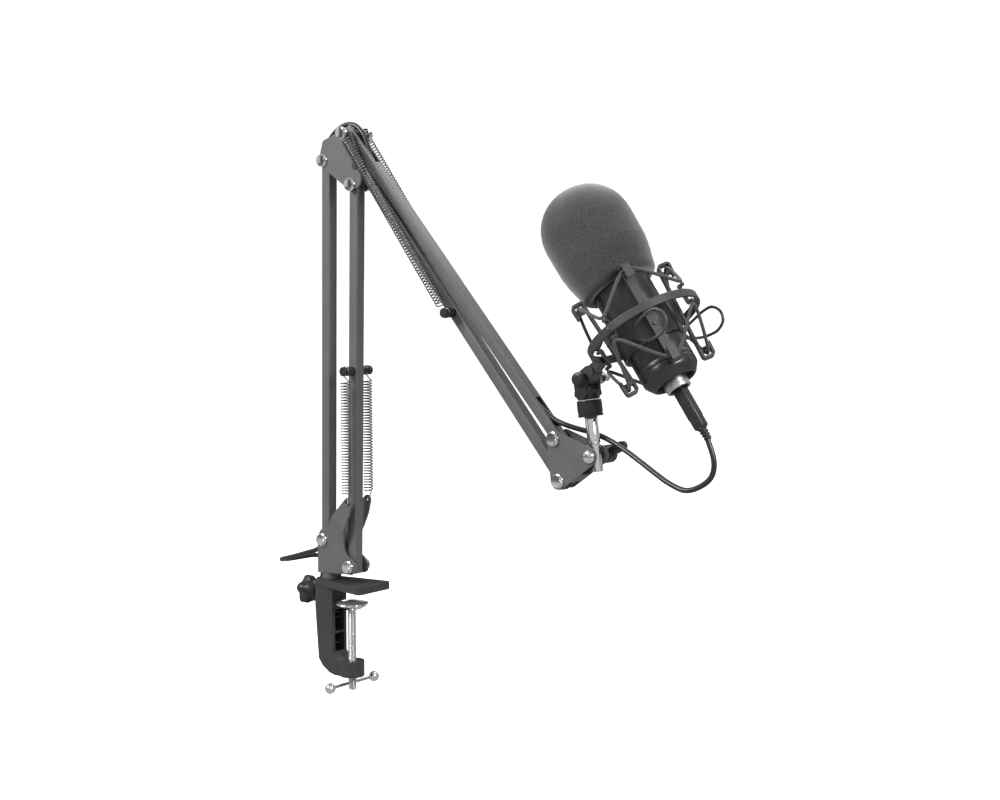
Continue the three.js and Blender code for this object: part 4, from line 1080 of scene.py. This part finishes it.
for corner in made.verts:
    local = MIC.inverted() @ corner.co
    out = Vector((local.x, local.y, max(0, (local.z - 91.5) * 0.97)))
    if local.xy.length > 25.2 or local.z > 108:
        depth = 0.22 * noise.noise(local * 0.9) + 0.16 * noise.noise(local * 2.1)
        corner.co += (MIC.to_3x3() @ out.normalized()) * depth
cover = settle(made, "foam_cover_cut", "foam_cover", foam, ["foam_cover"], angle=80)
print("foam vertices", len(cover.data.vertices))

# %% [markdown]
# ## Studio
# A pale floor well below the clamp, an even surround, and three soft lamps that draw long highlights
# on the tubes and the stud. The surround has three dark strips, because polished metal only reads as
# metal when it has something dark to reflect. The camera sees the floor and the surround as white;
# the object is lit by, and reflects, a dimmer version of both. Only this studio is set up that way.

# %% Studio
def show(tree, to_object, to_camera, end):
    """Gives the camera's own rays one shader and every other ray another."""
    rays = tree.nodes.new("ShaderNodeLightPath")
    choose = tree.nodes.new("ShaderNodeMixShader")
    tree.links.new(rays.outputs["Is Camera Ray"], choose.inputs["Fac"])
    tree.links.new(to_object, choose.inputs[1])
    tree.links.new(to_camera, choose.inputs[2])
    tree.links.new(choose.outputs["Shader"], tree.nodes[end].inputs["Surface"])


FLOOR_Z, FLOOR_HALF = -0.17, 40
made = bmesh.new()
for x, y in ((-1, -1), (1, -1), (1, 1), (-1, 1)):
    made.verts.new((x * FLOOR_HALF, y * FLOOR_HALF, FLOOR_Z))
made.faces.new(made.verts)
floor_mesh = bpy.data.meshes.new("studio_floor")
made.to_mesh(floor_mesh)
made.free()
floor = bpy.data.objects.new("studio_floor", floor_mesh)
scene.collection.objects.link(floor)
floor_paint = bpy.data.materials.new("studio_floor")
floor_paint.use_nodes = True
tree = floor_paint.node_tree
pale = tree.nodes["Principled BSDF"]
pale.inputs["Base Color"].default_value = (0.93, 0.93, 0.93, 1)
pale.inputs["Roughness"].default_value = 0.9
pale.inputs["Emission Color"].default_value = (1, 1, 1, 1)
pale.inputs["Emission Strength"].default_value = 0.8
dim = tree.nodes.new("ShaderNodeBsdfDiffuse")
dim.inputs["Color"].default_value = (0.3, 0.3, 0.3, 1)
show(tree, dim.outputs["BSDF"], pale.outputs["BSDF"], "Material Output")
floor_mesh.materials.append(floor_paint)

world = bpy.data.worlds.new("studio")
scene.world = world
world.use_nodes = True
tree = world.node_tree
background = tree.nodes["Background"]
where = tree.nodes.new("ShaderNodeTexCoord")
radial = tree.nodes.new("ShaderNodeTexGradient")
radial.gradient_type = "RADIAL"
strips = tree.nodes.new("ShaderNodeValToRGB")
stops = [(0.12, 1), (0.135, 0.15), (0.165, 0.15), (0.18, 1), (0.59, 1), (0.6, 0.1), (0.64, 0.1), (0.65, 1),
         (0.77, 1), (0.8, 0.12), (0.92, 0.12), (0.95, 1)]  # share of the way round, brightness
ramp = strips.color_ramp
ramp.elements[0].color = ramp.elements[1].color = (1, 1, 1, 1)
for at, shade in stops:
    ramp.elements.new(at).color = (shade, shade, shade, 1)
tree.links.new(where.outputs["Generated"], radial.inputs["Vector"])
tree.links.new(radial.outputs["Fac"], strips.inputs["Fac"])
tree.links.new(strips.outputs["Color"], background.inputs["Color"])
background.inputs["Strength"].default_value = 0.6
plain = tree.nodes.new("ShaderNodeBackground")
plain.inputs["Strength"].default_value = 1.3
show(tree, background.outputs["Background"], plain.outputs["Background"], "World Output")
scene.view_settings.view_transform = "Standard"

LIT_AT = Vector((0.17, 0, 0.18))
for name, at, size, power in (("key", (-0.7, -1.3, 1.2), 0.7, 36), ("side", (1.6, -0.3, 0.9), 0.6, 22),
                              ("top", (0.1, 0.9, 1.6), 0.9, 10)):
    lamp = bpy.data.objects.new(name, bpy.data.lights.new(name, "AREA"))
    lamp.data.size, lamp.data.energy = size, power
    lamp.location = at
    aim = LIT_AT - lamp.location
    lamp.rotation_euler = aim.to_track_quat("-Z", "Y").to_euler()
    scene.collection.objects.link(lamp)
print("studio lit")
